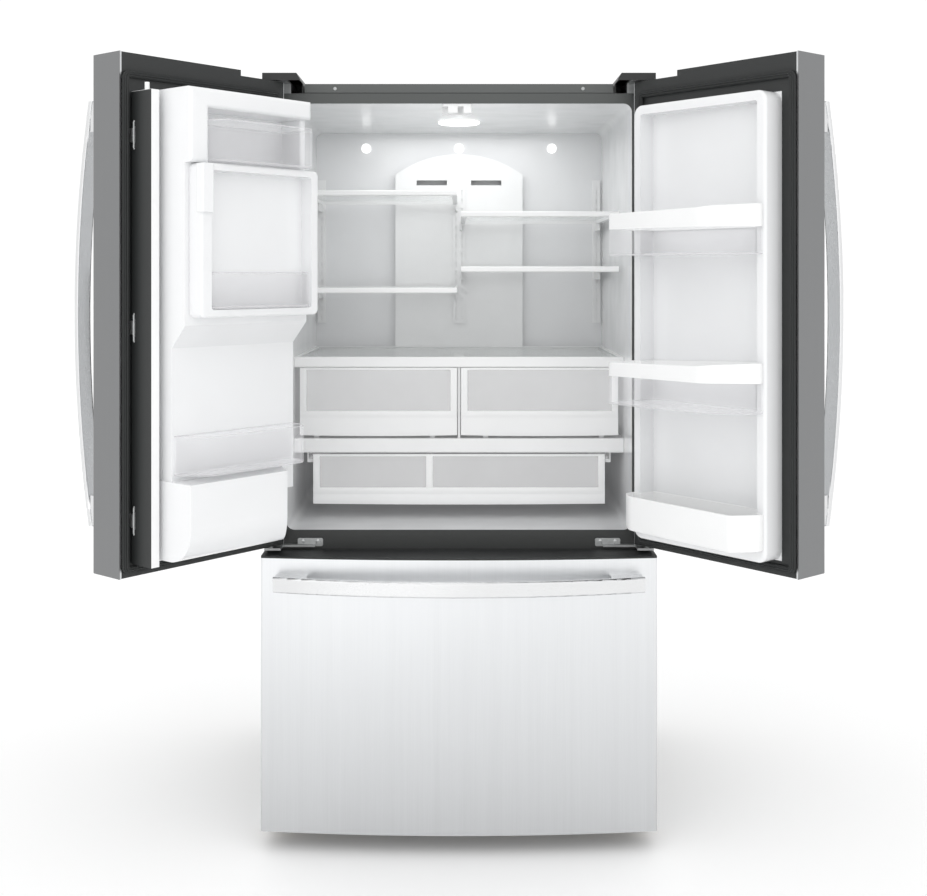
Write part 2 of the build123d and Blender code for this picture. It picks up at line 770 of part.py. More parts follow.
def door_gasket():
    """Magnetic gasket round the back of a door."""
    x0 = -2.0
    x1 = free_end - 3.0
    z0 = fresh_floor - 2.0 - gasket_width
    z1 = case_top - 3.0
    outer = block(x0, x1, door_back, gasket_face, z0, z1)
    inner = block(x0 + gasket_width, x1 - gasket_width, door_back - 1, gasket_face + 1,
                  z0 + gasket_width, z1 - gasket_width)
    return outer - inner


def bowed_bar(length, foot):
    """Handle lying along X: a bowed bar on two end feet, standing towards -Y."""
    half = length / 2
    ends = -handle_reach
    middle = -handle_reach - handle_bow
    outer = ThreePointArc((-half, ends), (0, middle), (half, ends))
    inner = ThreePointArc((half, ends + handle_thick), (0, middle + handle_thick),
                          (-half, ends + handle_thick))
    side_a = Line((half, ends), (half, ends + handle_thick))
    side_b = Line((-half, ends + handle_thick), (-half, ends))
    face = make_face(Curve() + [outer, side_a, inner, side_b])
    bar = Pos(0, 0, -handle_width / 2) * extrude(face, handle_width)
    bar = fillet(bar.edges().filter_by(GeomType.CIRCLE), 4)
    feet = block(half - foot, half - 2, ends + handle_thick - 8, handle_root, -handle_width / 2 + 3,
                 handle_width / 2 - 3)
    return bar + feet + mirror(feet, about=Plane.YZ)


def door_handle():
    """Upright handle near the free end, its feet cut to the bowed front."""
    z0 = door_bottom + door_handle_bottom
    z1 = door_top - door_handle_top
    bar = bowed_bar(z1 - z0, door_handle_foot)
    upright = Pos(free_end - door_handle_inset, -front_set + pin_ahead - door_front_extra, (z0 + z1) / 2) \
        * Rot(0, 90, 0) * bar
    return upright - door_slab(0, door_back, door_bottom, door_top)


def right_lining_space(grow):
    """Recess between the raised rims of the right lining."""
    return rounded(dike_start + dike_width - grow, right_free - dike_width + grow,
                   door_back + 12 - grow, crest + 20, lining_bottom + dike_width - grow,
                   lining_top - dike_width + grow, 5, Axis.Y)


def right_lining():
    """Right door lining: a raised rim round a shallow recess; returns lining and foam."""
    outer = rounded(dike_start, right_free, door_back, crest, lining_bottom, lining_top, lining_round,
                    Axis.Y)
    outer += block(dike_start, right_free, frame_front, door_back + 1, lining_bottom, lining_top)
    outer = rim_rounded(outer, 7)
    wall = mould_wall
    foam = rounded(dike_start + wall, right_free - wall, frame_front, crest - wall,
                   lining_bottom + wall, lining_top - wall, lining_round - wall, Axis.Y)
    foam -= right_lining_space(wall)
    return outer - right_lining_space(0) - foam, foam


def bulge_points(inset):
    """Plan outline of the left housing's lower bulge."""
    return [(dike_start + 9 + inset, frame_front), (dike_start + 9 + inset, door_back + 36),
            (dike_start + 88 + inset, bulge_face - inset), (left_free - 4 - inset, bulge_face - inset),
            (left_free - 4 - inset, frame_front)]


def side_profile(depths, x0, x1, inset):
    """Solid whose outline is drawn in Y and Z and runs along X."""
    points = [(y - inset if y > frame_front else y, z) for y, z in depths]
    face = Plane.YZ * Polygon(*points, align=None)
    return Pos(x0 + inset) * extrude(face, x1 - x0 - 2 * inset, dir=(1, 0, 0))


def left_housing_solid(inset):
    """Left door housing as one solid; the inset gives its inside."""
    plinth = rounded(dike_start + inset, left_free - inset, frame_front, door_back + 36 - inset,
                     lining_bottom + inset, lining_top - inset, lining_round - inset, Axis.Y)
    upper = [(frame_front, middle_low), (middle_face, middle_low), (middle_face, ice_bottom - shoulder_drop),
             (ice_face, ice_bottom - 8), (ice_face, ice_top - inset), (middle_face - 22, ice_top - inset),
             (middle_face - 22, lining_top - inset), (frame_front, lining_top - inset)]
    body = side_profile(upper, dike_start + 9, left_free - 8, inset)
    wall_face = ice_face + 18 - inset
    low = ice_top + inset - 0.5
    side = block(left_free - 56 + inset, left_free - 8 - inset, frame_front, wall_face,
                 low, lining_top - inset)
    hinge_side = block(dike_start + 9 + inset, dike_start + 24 - inset, frame_front, wall_face - 20,
                       low, lining_top - inset)
    roof = block(dike_start + 9 + inset, left_free - 8 - inset, frame_front, wall_face,
                 lining_top - 40 + inset, lining_top - inset)
    if inset == 0:
        plinth += block(dike_start, left_free, frame_front, door_back + 1, lining_bottom, lining_top)
        side = fillet(side.faces().sort_by(Axis.Y)[-1].edges(), 8)
        roof = fillet(roof.faces().sort_by(Axis.Y)[-1].edges(), 8)
        hinge_side = fillet(hinge_side.faces().sort_by(Axis.Y)[-1].edges(), 5)
    bulge = plan(bulge_points(inset), lining_bottom + 8 + inset, lining_bottom + 8 + bulge_height - inset)
    low_edge = bulge.edges().filter_by(Axis.X).group_by(Axis.Z)[0].sort_by(Axis.Y)[-1]
    bulge = fillet(low_edge, bulge_round)
    return plinth + body + side + hinge_side + roof + bulge


def ice_cavity(grow):
    return rounded(dike_start + 31 - grow, left_free - 40 + grow, door_back + 36 - grow, ice_face + 30,
                   ice_bottom + 19 - grow, ice_top - 15 + grow, 3.5, Axis.Y)


def left_lining():
    """Left door housing; returns the moulded shell and the foam inside it."""
    outer = left_housing_solid(0)
    foam = left_housing_solid(mould_wall) - ice_cavity(mould_wall)
    foam -= block(-500, 500, -300, frame_front, 0, ceiling)
    dispenser = dispenser_hole(3)
    return outer - ice_cavity(0) - foam - dispenser, foam - dispenser


def ice_door_plate():
    """Ice compartment door: a thick white panel with a raised rim and a grip tab."""
    x0 = dike_start + 9
    x1 = left_free - 18
    y0 = ice_face + small_gap
    y1 = ice_face + ice_door_thick
    plate = rounded(x0, x1, y0, y1, ice_bottom + 8, ice_top - 1.5, 12, Axis.Y)
    plate = rim_rounded(plate, 6)
    recess = rounded(x0 + 22, x1 - 26, y0 + 7, y1 + 5, ice_bottom + 24, ice_top - 16, 6, Axis.Y)
    tab = rounded(x1 - 26, x1 + 4, y1 - 14, y1 + 9, ice_top - 102, ice_top - 4, 4, Axis.Z)
    pin = rod(x0 - 4, y0 + 4, ice_bottom + 24, ice_top - 14, 7)
    ear = block(x0 - 4, x0 + 8, y0 + 0.6, y0 + 7, ice_bottom + 24, ice_top - 14)
    return plate - recess + tab + pin + ear


def ice_door_bin():
    """Clear bin held in the ice door's recess."""
    x0 = dike_start + 9 + 22 + 2
    x1 = left_free - 18 - 26 - 2
    y0 = ice_face + 7 + 2 * small_gap
    y1 = ice_face + ice_door_thick + 10
    points = [(x0, y0), (x1, y0), (x1, y1 - 18), (x1 - 16, y1), (x0 + 16, y1), (x0, y1 - 18)]
    return tray(points, ice_bottom + 26, ice_bottom + 101, bin_wall)


def left_bins():
    """Top bin in the housing's upper recess and low bin under the dispenser's back."""
    x0 = dike_start + 24 + small_gap
    x1 = left_free - 56 - small_gap
    y0 = middle_face - 22 + small_gap
    y1 = ice_face + 55
    upper = [(x0, y0), (x1, y0), (x1, y1 - 22), (x1 - 18, y1), (x0 + 18, y1), (x0, y1 - 22)]
    bins = tray(upper, ice_top + 3, ice_top + 89, bin_wall)
    x0 = dike_start + 16
    x1 = left_free - 12
    y0 = middle_face + small_gap
    lower = [(x0, y0), (x1, y0), (x1, y0 + 10), (x1 - 46, bulge_face - 2), (x0 + 20, bulge_face - 2),
             (x0, bulge_face - 34)]
    z0 = lining_bottom + 8 + bulge_height + 11
    return bins + tray(lower, z0, z0 + 82, bin_wall)


def ice_bucket():
    """Clear-fronted ice bucket with a floor outlet under the auger."""
    x0 = dike_start + 31 + 4
    x1 = left_free - 40 - 4
    bucket = rounded(x0, x1, door_back + 40, ice_face - 3, ice_bottom + 19, ice_bottom + 205, 8, Axis.Z)
    hollow = rounded(x0 + 3, x1 - 3, door_back + 43, ice_face - 6, ice_bottom + 22, ice_bottom + 206,
                     5, Axis.Z)
    outlet = block(x0 + 12, x0 + 72, door_back + 60, ice_face - 30, ice_bottom, ice_bottom + 40)
    ear = cross_rod(x1 - 4, x1, auger_y, auger_z, 22)
    return bucket - hollow - outlet + ear - cross_rod(x1 - 5, x1 - 1, auger_y, auger_z, 12)


def ice_auger():
    """Auger shaft with staggered paddles, across the bucket."""
    x0 = dike_start + 42
    x1 = left_free - 46.4
    auger = cross_rod(x0, x1, auger_y, auger_z, 10)
    for index in range(7):
        paddle = block(-2.5, 2.5, -5, 5, 0, 34)
        auger += Pos(x0 + 20 + index * 34, auger_y, auger_z) * Rot(index * 55, 0, 0) * paddle
    return auger


def ice_maker():
    """Ice maker: a cup tray with its motor box, high in the ice compartment."""
    z1 = ice_top - 15
    y0 = door_back + 36
    cups = block(dike_start + 60, left_free - 95, y0 + 6, ice_face - 20, z1 - 62, z1 - 18)
    for index in range(6):
        x = dike_start + 66 + index * 31
        cups -= block(x, x + 26, y0 + 14, ice_face - 30, z1 - 52, z1 - 10)
    motor = rounded(left_free - 96, left_free - 50, y0 + 6, ice_face - 10, z1 - 90, z1 - 6, 6, Axis.X)
    hanger = block(dike_start + 60, left_free - 60, y0, y0 + 7, z1 - 60, z1 - 8)
    return cups + motor + hanger


def flap():
    """Swinging flap in its folded place along the left housing's free side."""
    x1 = pivot_x
    body = rounded(x1 - flap_thick, x1, flange_y - flap_offset, flange_y - flap_offset + flap_width,
                   flap_bottom, flap_top, 3, Axis.Z)
    cap_pin = rod(x1 - pin_out, flange_y + pin_along, flap_top - 1, flap_pin_top, flap_pin_diameter)
    for z in flap_hinge_places():
        body -= block(x1 - 4.6, x1 + 2, flange_y - flap_offset - 1, flange_y + 5, z - flap_notch, z + flap_notch)
        body -= rod(x1, flange_y, z - flap_notch - 12, z + flap_notch + 12, 6.0)
    return body + cap_pin


def flap_hinge_places():
    span = flap_top - flap_bottom
    return [flap_bottom + 90.0, flap_bottom + span / 2, flap_top - 90.0]


def flap_hinges():
    """Three bright hinge leaves with their pins, on the door's frame."""
    leaves = Part()
    for z in flap_hinge_places():
        leaves += block(pivot_x - 3.5, pivot_x + 3.5, door_back, flange_y, z - 14, z + 14)
        leaves += rod(pivot_x, flange_y, z - 27, z + 27, 5.0)
    return leaves


def dispenser_recess():
    """Dispenser: bezel, deep cavity, nozzle block, drip tray ledge and control face."""
    body = dispenser_hole(0) & door_slab(-bezel_proud, dispenser_back, dispenser_bottom, dispenser_top)
    wall = 3.0
    cavity = rounded(dispenser_x0 + wall + 6, dispenser_x1 - wall - 6, -200, dispenser_back - wall,
                     dispenser_bottom + 30, dispenser_top - panel_height, 14, Axis.Y)
    nozzle_x = (dispenser_x0 + dispenser_x1) / 2
    z1 = dispenser_top - panel_height
    nozzle = Pos(nozzle_x, nozzle_y, z1 - 15) * Cone(15, 22, 32)
    bore = rod(nozzle_x, nozzle_y, z1 - 40, z1 + 40, 20)
    boss = cross_rod(nozzle_x - 34, nozzle_x - 27, paddle_y, z1 - 20, 14) \
        + cross_rod(nozzle_x + 27, nozzle_x + 34, paddle_y, z1 - 20, 14)
    boss += block(nozzle_x - 34, nozzle_x - 27, paddle_y - 7, paddle_y + 7, z1 - 20, z1 + 2)
    boss += block(nozzle_x + 27, nozzle_x + 34, paddle_y - 7, paddle_y + 7, z1 - 20, z1 + 2)
    pin_hole = cross_rod(nozzle_x - 35, nozzle_x + 35, paddle_y, z1 - 20, 6.8)
    tray_space = block(dispenser_x0 + 20, dispenser_x1 - 20, -60, dispenser_back - 12,
                       dispenser_bottom + 18, dispenser_bottom + 31)
    return body - cavity + nozzle + boss - bore - pin_hole - tray_space


def dispenser_paddle():
    """Sprung paddle behind the nozzle, on its cross pin."""
    nozzle_x = (dispenser_x0 + dispenser_x1) / 2
    z1 = dispenser_top - panel_height - 20
    pin = cross_rod(nozzle_x - 34, nozzle_x + 34, paddle_y, z1, 6)
    hub = cross_rod(nozzle_x - 26, nozzle_x + 26, paddle_y, z1, 12)
    blade = rounded(nozzle_x - 24, nozzle_x + 24, paddle_y - 2, paddle_y + 2, z1 - 120, z1 - 3, 10, Axis.Y)
    return pin + hub + blade


def drip_tray():
    """Slotted grille that lifts out of the dispenser's floor."""
    x0 = dispenser_x0 + 20 + small_gap
    x1 = dispenser_x1 - 20 - small_gap
    y1 = dispenser_back - 12 - small_gap
    tray_body = block(x0, x1, -60 + small_gap, y1, dispenser_bottom + 18, dispenser_bottom + 30)
    count = int((x1 - x0 - 12) / 10)
    for index in range(count):
        x = x0 + 8 + index * 10
        tray_body -= block(x, x + 5, -52, y1 - 8, dispenser_bottom + 21, dispenser_bottom + 31)
    return tray_body


def right_bin_points():
    """Plan outline of a right door bin: inside the rims, then over them to its nose."""
    x0 = dike_start + dike_width + small_gap
    x1 = right_free - dike_width - small_gap
    y0 = door_back + 12 + small_gap
    rim = crest + small_gap
    return [(x0, y0), (x1, y0), (x1, rim), (right_free - 4, rim), (right_free - 4, rim + 15),
            (right_free - 87, bin_face), (dike_start + 3, bin_face - 2), (dike_start + 3, rim), (x0, rim)]


def right_bins():
    """The two right door bins."""
    bins = Part()
    for z1 in (ceiling - right_bin_drop, fresh_floor + right_bin_rise):
        bins += tray(right_bin_points(), z1 - bin_height, z1, bin_wall)
    return bins


def right_trough():
    """Opaque bottom trough of the right door."""
    x0 = dike_start + dike_width + small_gap
    x1 = right_free - dike_width - small_gap
    y0 = door_back + 12 + small_gap
    rim = crest + small_gap
    points = [(x0, y0), (x1, y0), (x1, rim), (right_free - 4, rim), (right_free - 4, rim + 15),
              (right_free - 37, bin_face - 27), (dike_start + 31, bin_face - 43), (dike_start + 1, rim + 25),
              (dike_start + 1, rim), (x0, rim)]
    z0 = lining_bottom + 26
    return tray(points, z0, z0 + 77, bin_wall)


# ------------------------------------------------------------------ drawers
def crisper():
    """Right crisper: open bin with a deeper white band low on its front."""
    x0 = crisper_centre_gap
    x1 = half_inner - crisper_outer_gap
    z0 = fresh_floor + crisper_rise
    y0 = right_shelf_front
    body = rounded(x0, x1, y0, y0 + crisper_depth, z0, z0 + crisper_height, 10, Axis.Z)
    hollow = rounded(x0 + drawer_wall, x1 - drawer_wall, y0 + drawer_wall, y0 + crisper_depth - drawer_wall,
                     z0 + drawer_wall, z0 + crisper_height + 1, 7, Axis.Z)
    band = block(x0 + 8, x1 - 8, y0 + 2, y0 + 9, z0 + 2, z0 + crisper_band)
    return body - hollow + band


def deli_drawer():
    """Wide shallow drawer with side flanges, end posts and one divider."""
    z0 = fresh_floor + deli_rise
    z1 = z0 + deli_height
    y0 = right_shelf_front
    body = rounded(-deli_half, deli_half, y0, y0 + deli_depth, z0, z1, 10, Axis.Z)
    hollow = rounded(-deli_half + drawer_wall, deli_half - drawer_wall, y0 + drawer_wall,
                     y0 + deli_depth - drawer_wall, z0 + drawer_wall, z1 + 1, 7, Axis.Z)
    band = block(-deli_half + 8, deli_half - 8, y0 + 2, y0 + 9, z0 + 2, z0 + deli_band)
    wall = block(deli_split - 3, deli_split + 3, y0 + 2, y0 + deli_depth - 2, z0 + 2, z1 - 6)
    flange = block(deli_half - 1, deli_half + flange_wide, y0 + 15, y0 + deli_depth - 12,
                   z1 - deli_flange_drop, z1 - deli_flange_drop + 6)
    return body - hollow + band + wall + both_sides(flange)


def drawer_slab(inset, back, z0, z1):
    """Slab on the freezer drawer's plan section."""
    strip = Pos(0, (back - 300) / 2) * Rectangle(case_width - 2 * inset, back + 300)
    section = strip & (Pos(0, bow_radius - front_set - front_bow) * Circle(bow_radius - inset))
    corners = section.vertices().sort_by(Axis.Y)[:2]
    section = fillet(corners, edge_round - inset)
    return Pos(0, 0, z0) * extrude(section, z1 - z0)


def freezer_drawer_skin():
    outer = drawer_slab(0, -flange_gap, drawer_bottom, drawer_top - 4)
    return outer - drawer_slab(skin_wall, -flange_gap + 1, drawer_bottom - 1, drawer_top + 1)


def freezer_drawer_frame():
    """Dark cap on top, bottom cap and the back panel of the drawer front."""
    top = drawer_slab(0, -flange_gap, drawer_top - 4, drawer_top) \
        + drawer_slab(skin_wall, -flange_gap, drawer_top - cap_height, drawer_top - 3)
    bottom = drawer_slab(skin_wall, -flange_gap, drawer_bottom + 1, drawer_bottom + cap_height)
    back = block(-half_case + skin_wall, half_case - skin_wall, -flange_gap - frame_wall, -flange_gap,
                 drawer_bottom + 2, drawer_top - 2)
    return top + bottom + back


def freezer_drawer_foam():
    return drawer_slab(skin_wall, -flange_gap - frame_wall, drawer_bottom + cap_height,
                       drawer_top - cap_height)


def freezer_drawer_gasket():
    x = half_inner + 8 + gasket_width
    z0 = freezer_floor - 8 - gasket_width
    z1 = freezer_ceiling + 8 + gasket_width
    outer = block(-x, x, -flange_gap, -gasket_gap, z0, z1)
    return outer - block(-x + gasket_width, x - gasket_width, -flange_gap - 1, 1,
                         z0 + gasket_width, z1 - gasket_width)


def freezer_drawer_handle():
    length = case_width - 2 * drawer_handle_inset
    bar = Pos(0, -front_set, drawer_top - drawer_handle_drop) * bowed_bar(length, drawer_handle_foot)
    return bar - drawer_slab(0, -flange_gap, drawer_bottom, drawer_top)


def wire_basket(x, y0, y1, z0, z1):
    """Open basket with slotted walls."""
    body = rounded(-x, x, y0, y1, z0, z1, 20, Axis.Z)
    body -= rounded(-x + basket_wall, x - basket_wall, y0 + basket_wall, y1 - basket_wall,
                    z0 + basket_wall, z1 + 1, 16, Axis.Z)
    return body


def freezer_bin():
    """Deep lower bin between the drawer's rails."""
    basket = wire_basket(half_inner - rail_gap - 7, bin_front, freezer_low_depth - 25,
                         freezer_floor + 18, rail_bottom + 90)
    top = rail_bottom + rail_height + small_gap
    flange = block(half_inner - rail_gap - 8, half_inner - 8, bin_front + 30, freezer_low_depth - 50,
                   top, top + 4)
    return basket + both_sides(flange)


def freezer_rails():
    """Rails fixed to the drawer front; the bin hangs on them."""
    return both_sides(block(half_inner - rail_gap - 6, half_inner - run_gap, -flange_gap,
                            freezer_low_depth - 20, rail_bottom, rail_bottom + rail_height))


def upper_basket():
    """Shallow upper basket on the liner's ledges."""
    return wire_basket(half_inner - 12, 14, freezer_depth - evaporator_thick - 22,
                       upper_basket_bottom, upper_basket_bottom + 130)


def cabinet_pieces():
    """Pieces of the cabinet."""
    return {
        "case_wrapper": case_wrapper(), "back_panel": back_panel(), "base_frame": base_frame(),
        "cabinet_foam": cabinet_foam(), "fresh_food_liner": fresh_food_liner(),
        "freezer_liner": freezer_liner(), "top_trim_strip": top_trim_strip(), "screws": screws(),
        "hinge_covers": both_sides(hinge_cover()), "hinge_brackets": hinge_brackets(),
        "flap_guide": flap_guide(), "shelf_ladders": shelf_ladders(), "shelf_frames": half_shelves() + full_shelf(),
        "shelf_glass": shelf_glass(), "deli_cover": deli_cover(),
        "air_duct_cover": air_duct_cover(), "light_lenses": light_lenses(), "compressor": compressor(),
        "condenser": condenser(), "condenser_fan": condenser_fan(), "evaporator": evaporator(),
        "evaporator_fan": evaporator_fan(), "rear_connections": control_box() + water_valve(),
        "base_grille": base_grille(), "levelling_feet": levelling_feet(), "rear_rollers": rear_rollers(),
    }


def left_door_pieces():
    """Pieces of the left door, drawn closed and then turned open."""
    lining, foam = left_lining()
    core = door_core() + foam - dispenser_hole(0)
    pieces = {
        "left_door_skin": door_skin(True), "left_door_frame": door_frame(left_free),
        "left_door_foam": core, "left_door_liner": lining, "left_door_gasket": door_gasket(),
        "left_door_handle": door_handle(), "ice_door": ice_door_plate(), "ice_door_bin": ice_door_bin(),
        "left_door_bins": left_bins(), "ice_bucket": ice_bucket(), "ice_auger": ice_auger(),
        "ice_maker": ice_maker(), "flap": flap(), "flap_hinges": flap_hinges(),
        "dispenser_recess": dispenser_recess() + drip_tray(), "dispenser_paddle": dispenser_paddle(),
    }
    return {name: open_left(shape) for name, shape in pieces.items()}


def right_door_pieces():
    """Pieces of the right door, drawn closed and then turned open."""
    lining, foam = right_lining()
    pieces = {
        "right_door_skin": door_skin(False), "right_door_frame": door_frame(right_free),
        "right_door_foam": door_core() + foam, "right_door_liner": lining,
        "right_door_gasket": door_gasket(), "right_door_handle": door_handle(),
        "right_door_bins": right_bins(), "right_door_trough": right_trough(),
    }
    return {name: open_right(shape) for name, shape in pieces.items()}


def drawer_pieces():
    """Pieces of the inside drawers and of the freezer drawer."""
    right = crisper()
    return {
        "right_crisper": right, "left_crisper": mirror(right, about=Plane.YZ), "deli_drawer": deli_drawer(),
        "freezer_drawer_skin": freezer_drawer_skin(), "freezer_drawer_frame": freezer_drawer_frame(),
        "freezer_drawer_foam": freezer_drawer_foam(), "freezer_drawer_gasket": freezer_drawer_gasket(),
        "freezer_drawer_handle": freezer_drawer_handle(),
        "freezer_bin": freezer_bin() + freezer_rails(), "upper_basket": upper_basket(),
    }


os.makedirs("parts", exist_ok=True)
for group in (cabinet_pieces(), left_door_pieces(), right_door_pieces(), drawer_pieces()):
    for name, shape in group.items():
        save(shape, name)
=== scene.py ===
import json
import math

import bmesh
import bpy
from bpy.props import FloatProperty, FloatVectorProperty, PointerProperty
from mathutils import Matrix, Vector


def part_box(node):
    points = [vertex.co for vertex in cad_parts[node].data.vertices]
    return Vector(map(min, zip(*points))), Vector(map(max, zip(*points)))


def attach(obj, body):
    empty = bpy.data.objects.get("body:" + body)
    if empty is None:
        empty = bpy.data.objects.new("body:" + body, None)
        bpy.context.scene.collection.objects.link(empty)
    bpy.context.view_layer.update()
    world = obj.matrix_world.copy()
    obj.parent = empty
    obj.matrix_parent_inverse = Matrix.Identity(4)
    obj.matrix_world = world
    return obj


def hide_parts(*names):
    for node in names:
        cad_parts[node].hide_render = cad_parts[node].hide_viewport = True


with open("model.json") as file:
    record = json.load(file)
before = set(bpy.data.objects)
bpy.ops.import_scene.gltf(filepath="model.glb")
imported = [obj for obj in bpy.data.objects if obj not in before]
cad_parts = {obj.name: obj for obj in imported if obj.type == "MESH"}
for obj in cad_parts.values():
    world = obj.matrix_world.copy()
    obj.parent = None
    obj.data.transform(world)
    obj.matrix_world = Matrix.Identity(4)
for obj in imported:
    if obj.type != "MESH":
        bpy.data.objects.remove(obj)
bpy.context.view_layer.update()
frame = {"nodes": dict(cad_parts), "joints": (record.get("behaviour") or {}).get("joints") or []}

bl_info = {
    "name": "French door refrigerator",
    "version": (1, 0, 0),
    "blender": (4, 5, 0),
    "location": "View3D > Sidebar > Refrigerator",
    "description": "Finishes and details for a refrigerator with two doors above a freezer drawer",
    "category": "Object",
}

NODES = frame["nodes"]
JOINTS = {joint["name"]: joint for joint in frame["joints"]}
PIN_X = -JOINTS["left_door_hinge"]["pos_m"][0]
PIN_AHEAD = -JOINTS["left_door_hinge"]["pos_m"][1]
DOOR_TURN = math.radians(-JOINTS["left_door_hinge"]["range_deg"][0])
TURN_X, TURN_Y = math.cos(DOOR_TURN), math.sin(DOOR_TURN)
LEFT, RIGHT = 1, -1
SHARP = math.radians(35)  # edges sharper than this stay hard
BIN_WALL = 0.003
BINS_SPLIT = 1.2  # height between the upper and the lower door bins
SKY = 9.0  # above everything
COLOUR = {"size": 3, "subtype": "COLOR", "min": 0, "max": 1}


# ---- sizes and colours
class FridgeColours(bpy.types.PropertyGroup):
    """Colours of the refrigerator's surfaces."""

    case: FloatVectorProperty(
        name="Case paint", description="Paint of the cabinet",
        default=(0.072, 0.077, 0.075), **COLOUR)
    steel: FloatVectorProperty(
        name="Steel", description="Brushed steel of the fronts",
        default=(0.66, 0.67, 0.68), **COLOUR)
    handle: FloatVectorProperty(
        name="Handles", description="Satin steel of the handles",
        default=(0.74, 0.745, 0.75), **COLOUR)
    frame: FloatVectorProperty(
        name="Door frame", description="Charcoal plastic behind the steel",
        default=(0.021, 0.023, 0.023), **COLOUR)
    rubber: FloatVectorProperty(
        name="Gasket", description="Rubber of the door seals",
        default=(0.024, 0.026, 0.026), **COLOUR)
    liner: FloatVectorProperty(
        name="Liner", description="Glossy white of the moulded linings",
        default=(0.85, 0.857, 0.865), **COLOUR)
    white: FloatVectorProperty(
        name="White parts", description="White of shelves, bands and covers",
        default=(0.90, 0.905, 0.905), **COLOUR)
    clear: FloatVectorProperty(
        name="Clear plastic", description="Tint of bins and drawers",
        default=(0.93, 0.93, 0.95), **COLOUR)
    glass: FloatVectorProperty(
        name="Shelf glass", description="Tint of the shelf glass",
        default=(0.90, 0.95, 0.935), **COLOUR)
    black: FloatVectorProperty(
        name="Black plastic", description="Hinge covers, grille and dispenser",
        default=(0.016, 0.017, 0.017), **COLOUR)
    zinc: FloatVectorProperty(
        name="Zinc", description="Plated brackets and screws",
        default=(0.46, 0.47, 0.47), **COLOUR)


class FridgeSizes(bpy.types.PropertyGroup):
    """Sizes of the details and strength of the lights."""

    wire: FloatProperty(
        name="Basket wire", description="Thickness of the freezer basket's wires",
        default=0.0042, min=0.002, max=0.008, unit="LENGTH")
    wire_pitch: FloatProperty(
        name="Wire pitch", description="Distance between basket wires",
        default=0.031, min=0.015, max=0.08, unit="LENGTH")
    screw_head: FloatProperty(
        name="Screw head", description="Diameter of the rear panel's screws",
        default=0.0085, min=0.004, max=0.014, unit="LENGTH")
    screw_pitch: FloatProperty(
        name="Screw pitch", description="Distance between the rear panel's screws",
        default=0.21, min=0.08, max=0.4, unit="LENGTH")
    gasket_fold: FloatProperty(
        name="Gasket fold", description="Depth of the folds in the door seals",
        default=0.0022, min=0.0005, max=0.004, unit="LENGTH")
    key_power: FloatProperty(
        name="Key light", description="Power of the large soft light, in watts",
        default=10.5, min=0, max=500)
    cavity_power: FloatProperty(
        name="Inside light", description="Power of the soft light in the fresh food space",
        default=1.25, min=0, max=50)
    floor_glow: FloatProperty(
        name="Floor glow", description="How far the pale floor is lifted towards white",
        default=0.08, min=0, max=1)


# ---- node trees
class Wire:
    """One output of a node, which takes part in sums as a number does."""

    def __init__(self, graph, socket):
        self.graph = graph
        self.socket = socket

    def math(self, operation, first, second=0.0, clamp=False):
        """Adds one Math node."""
        return self.graph.node("ShaderNodeMath", {"operation": operation, "use_clamp": clamp},
                               {0: first, 1: second})

    def __add__(self, other):
        return self.math("ADD", self, other)

    def __sub__(self, other):
        return self.math("SUBTRACT", self, other)

    def __rsub__(self, other):
        return self.math("SUBTRACT", other, self)

    def __mul__(self, other):
        return self.math("MULTIPLY", self, other)

    def __truediv__(self, other):
        return self.math("DIVIDE", self, other)

    def __pow__(self, other):
        return self.math("POWER", self, other)

    __radd__ = __add__
    __rmul__ = __mul__

    def above(self, limit, soft=0.0006):
        """0 below a limit and 1 above it, over a soft edge."""
        return self.math("ADD", (self - limit) / soft, 0.5, clamp=True)

    def within(self, low, high, soft=0.0006):
        """1 between two limits."""
        return self.above(low, soft) * (1 - self.above(high, soft))


class Graph:
    """A node tree that is being built."""

    def __init__(self, tree):
        self.tree = tree

    def node(self, kind, settings=None, values=None, out=0):
        """Adds a node: its settings first, then the values or links of its sockets."""
        made = self.tree.nodes.new(kind)
        for key, value in (settings or {}).items():
            setattr(made, key, value)
        for key, value in (values or {}).items():
            if isinstance(value, Wire):
                self.tree.links.new(value.socket, made.inputs[key])
            else:
                made.inputs[key].default_value = value
        return Wire(self, made.outputs[out])


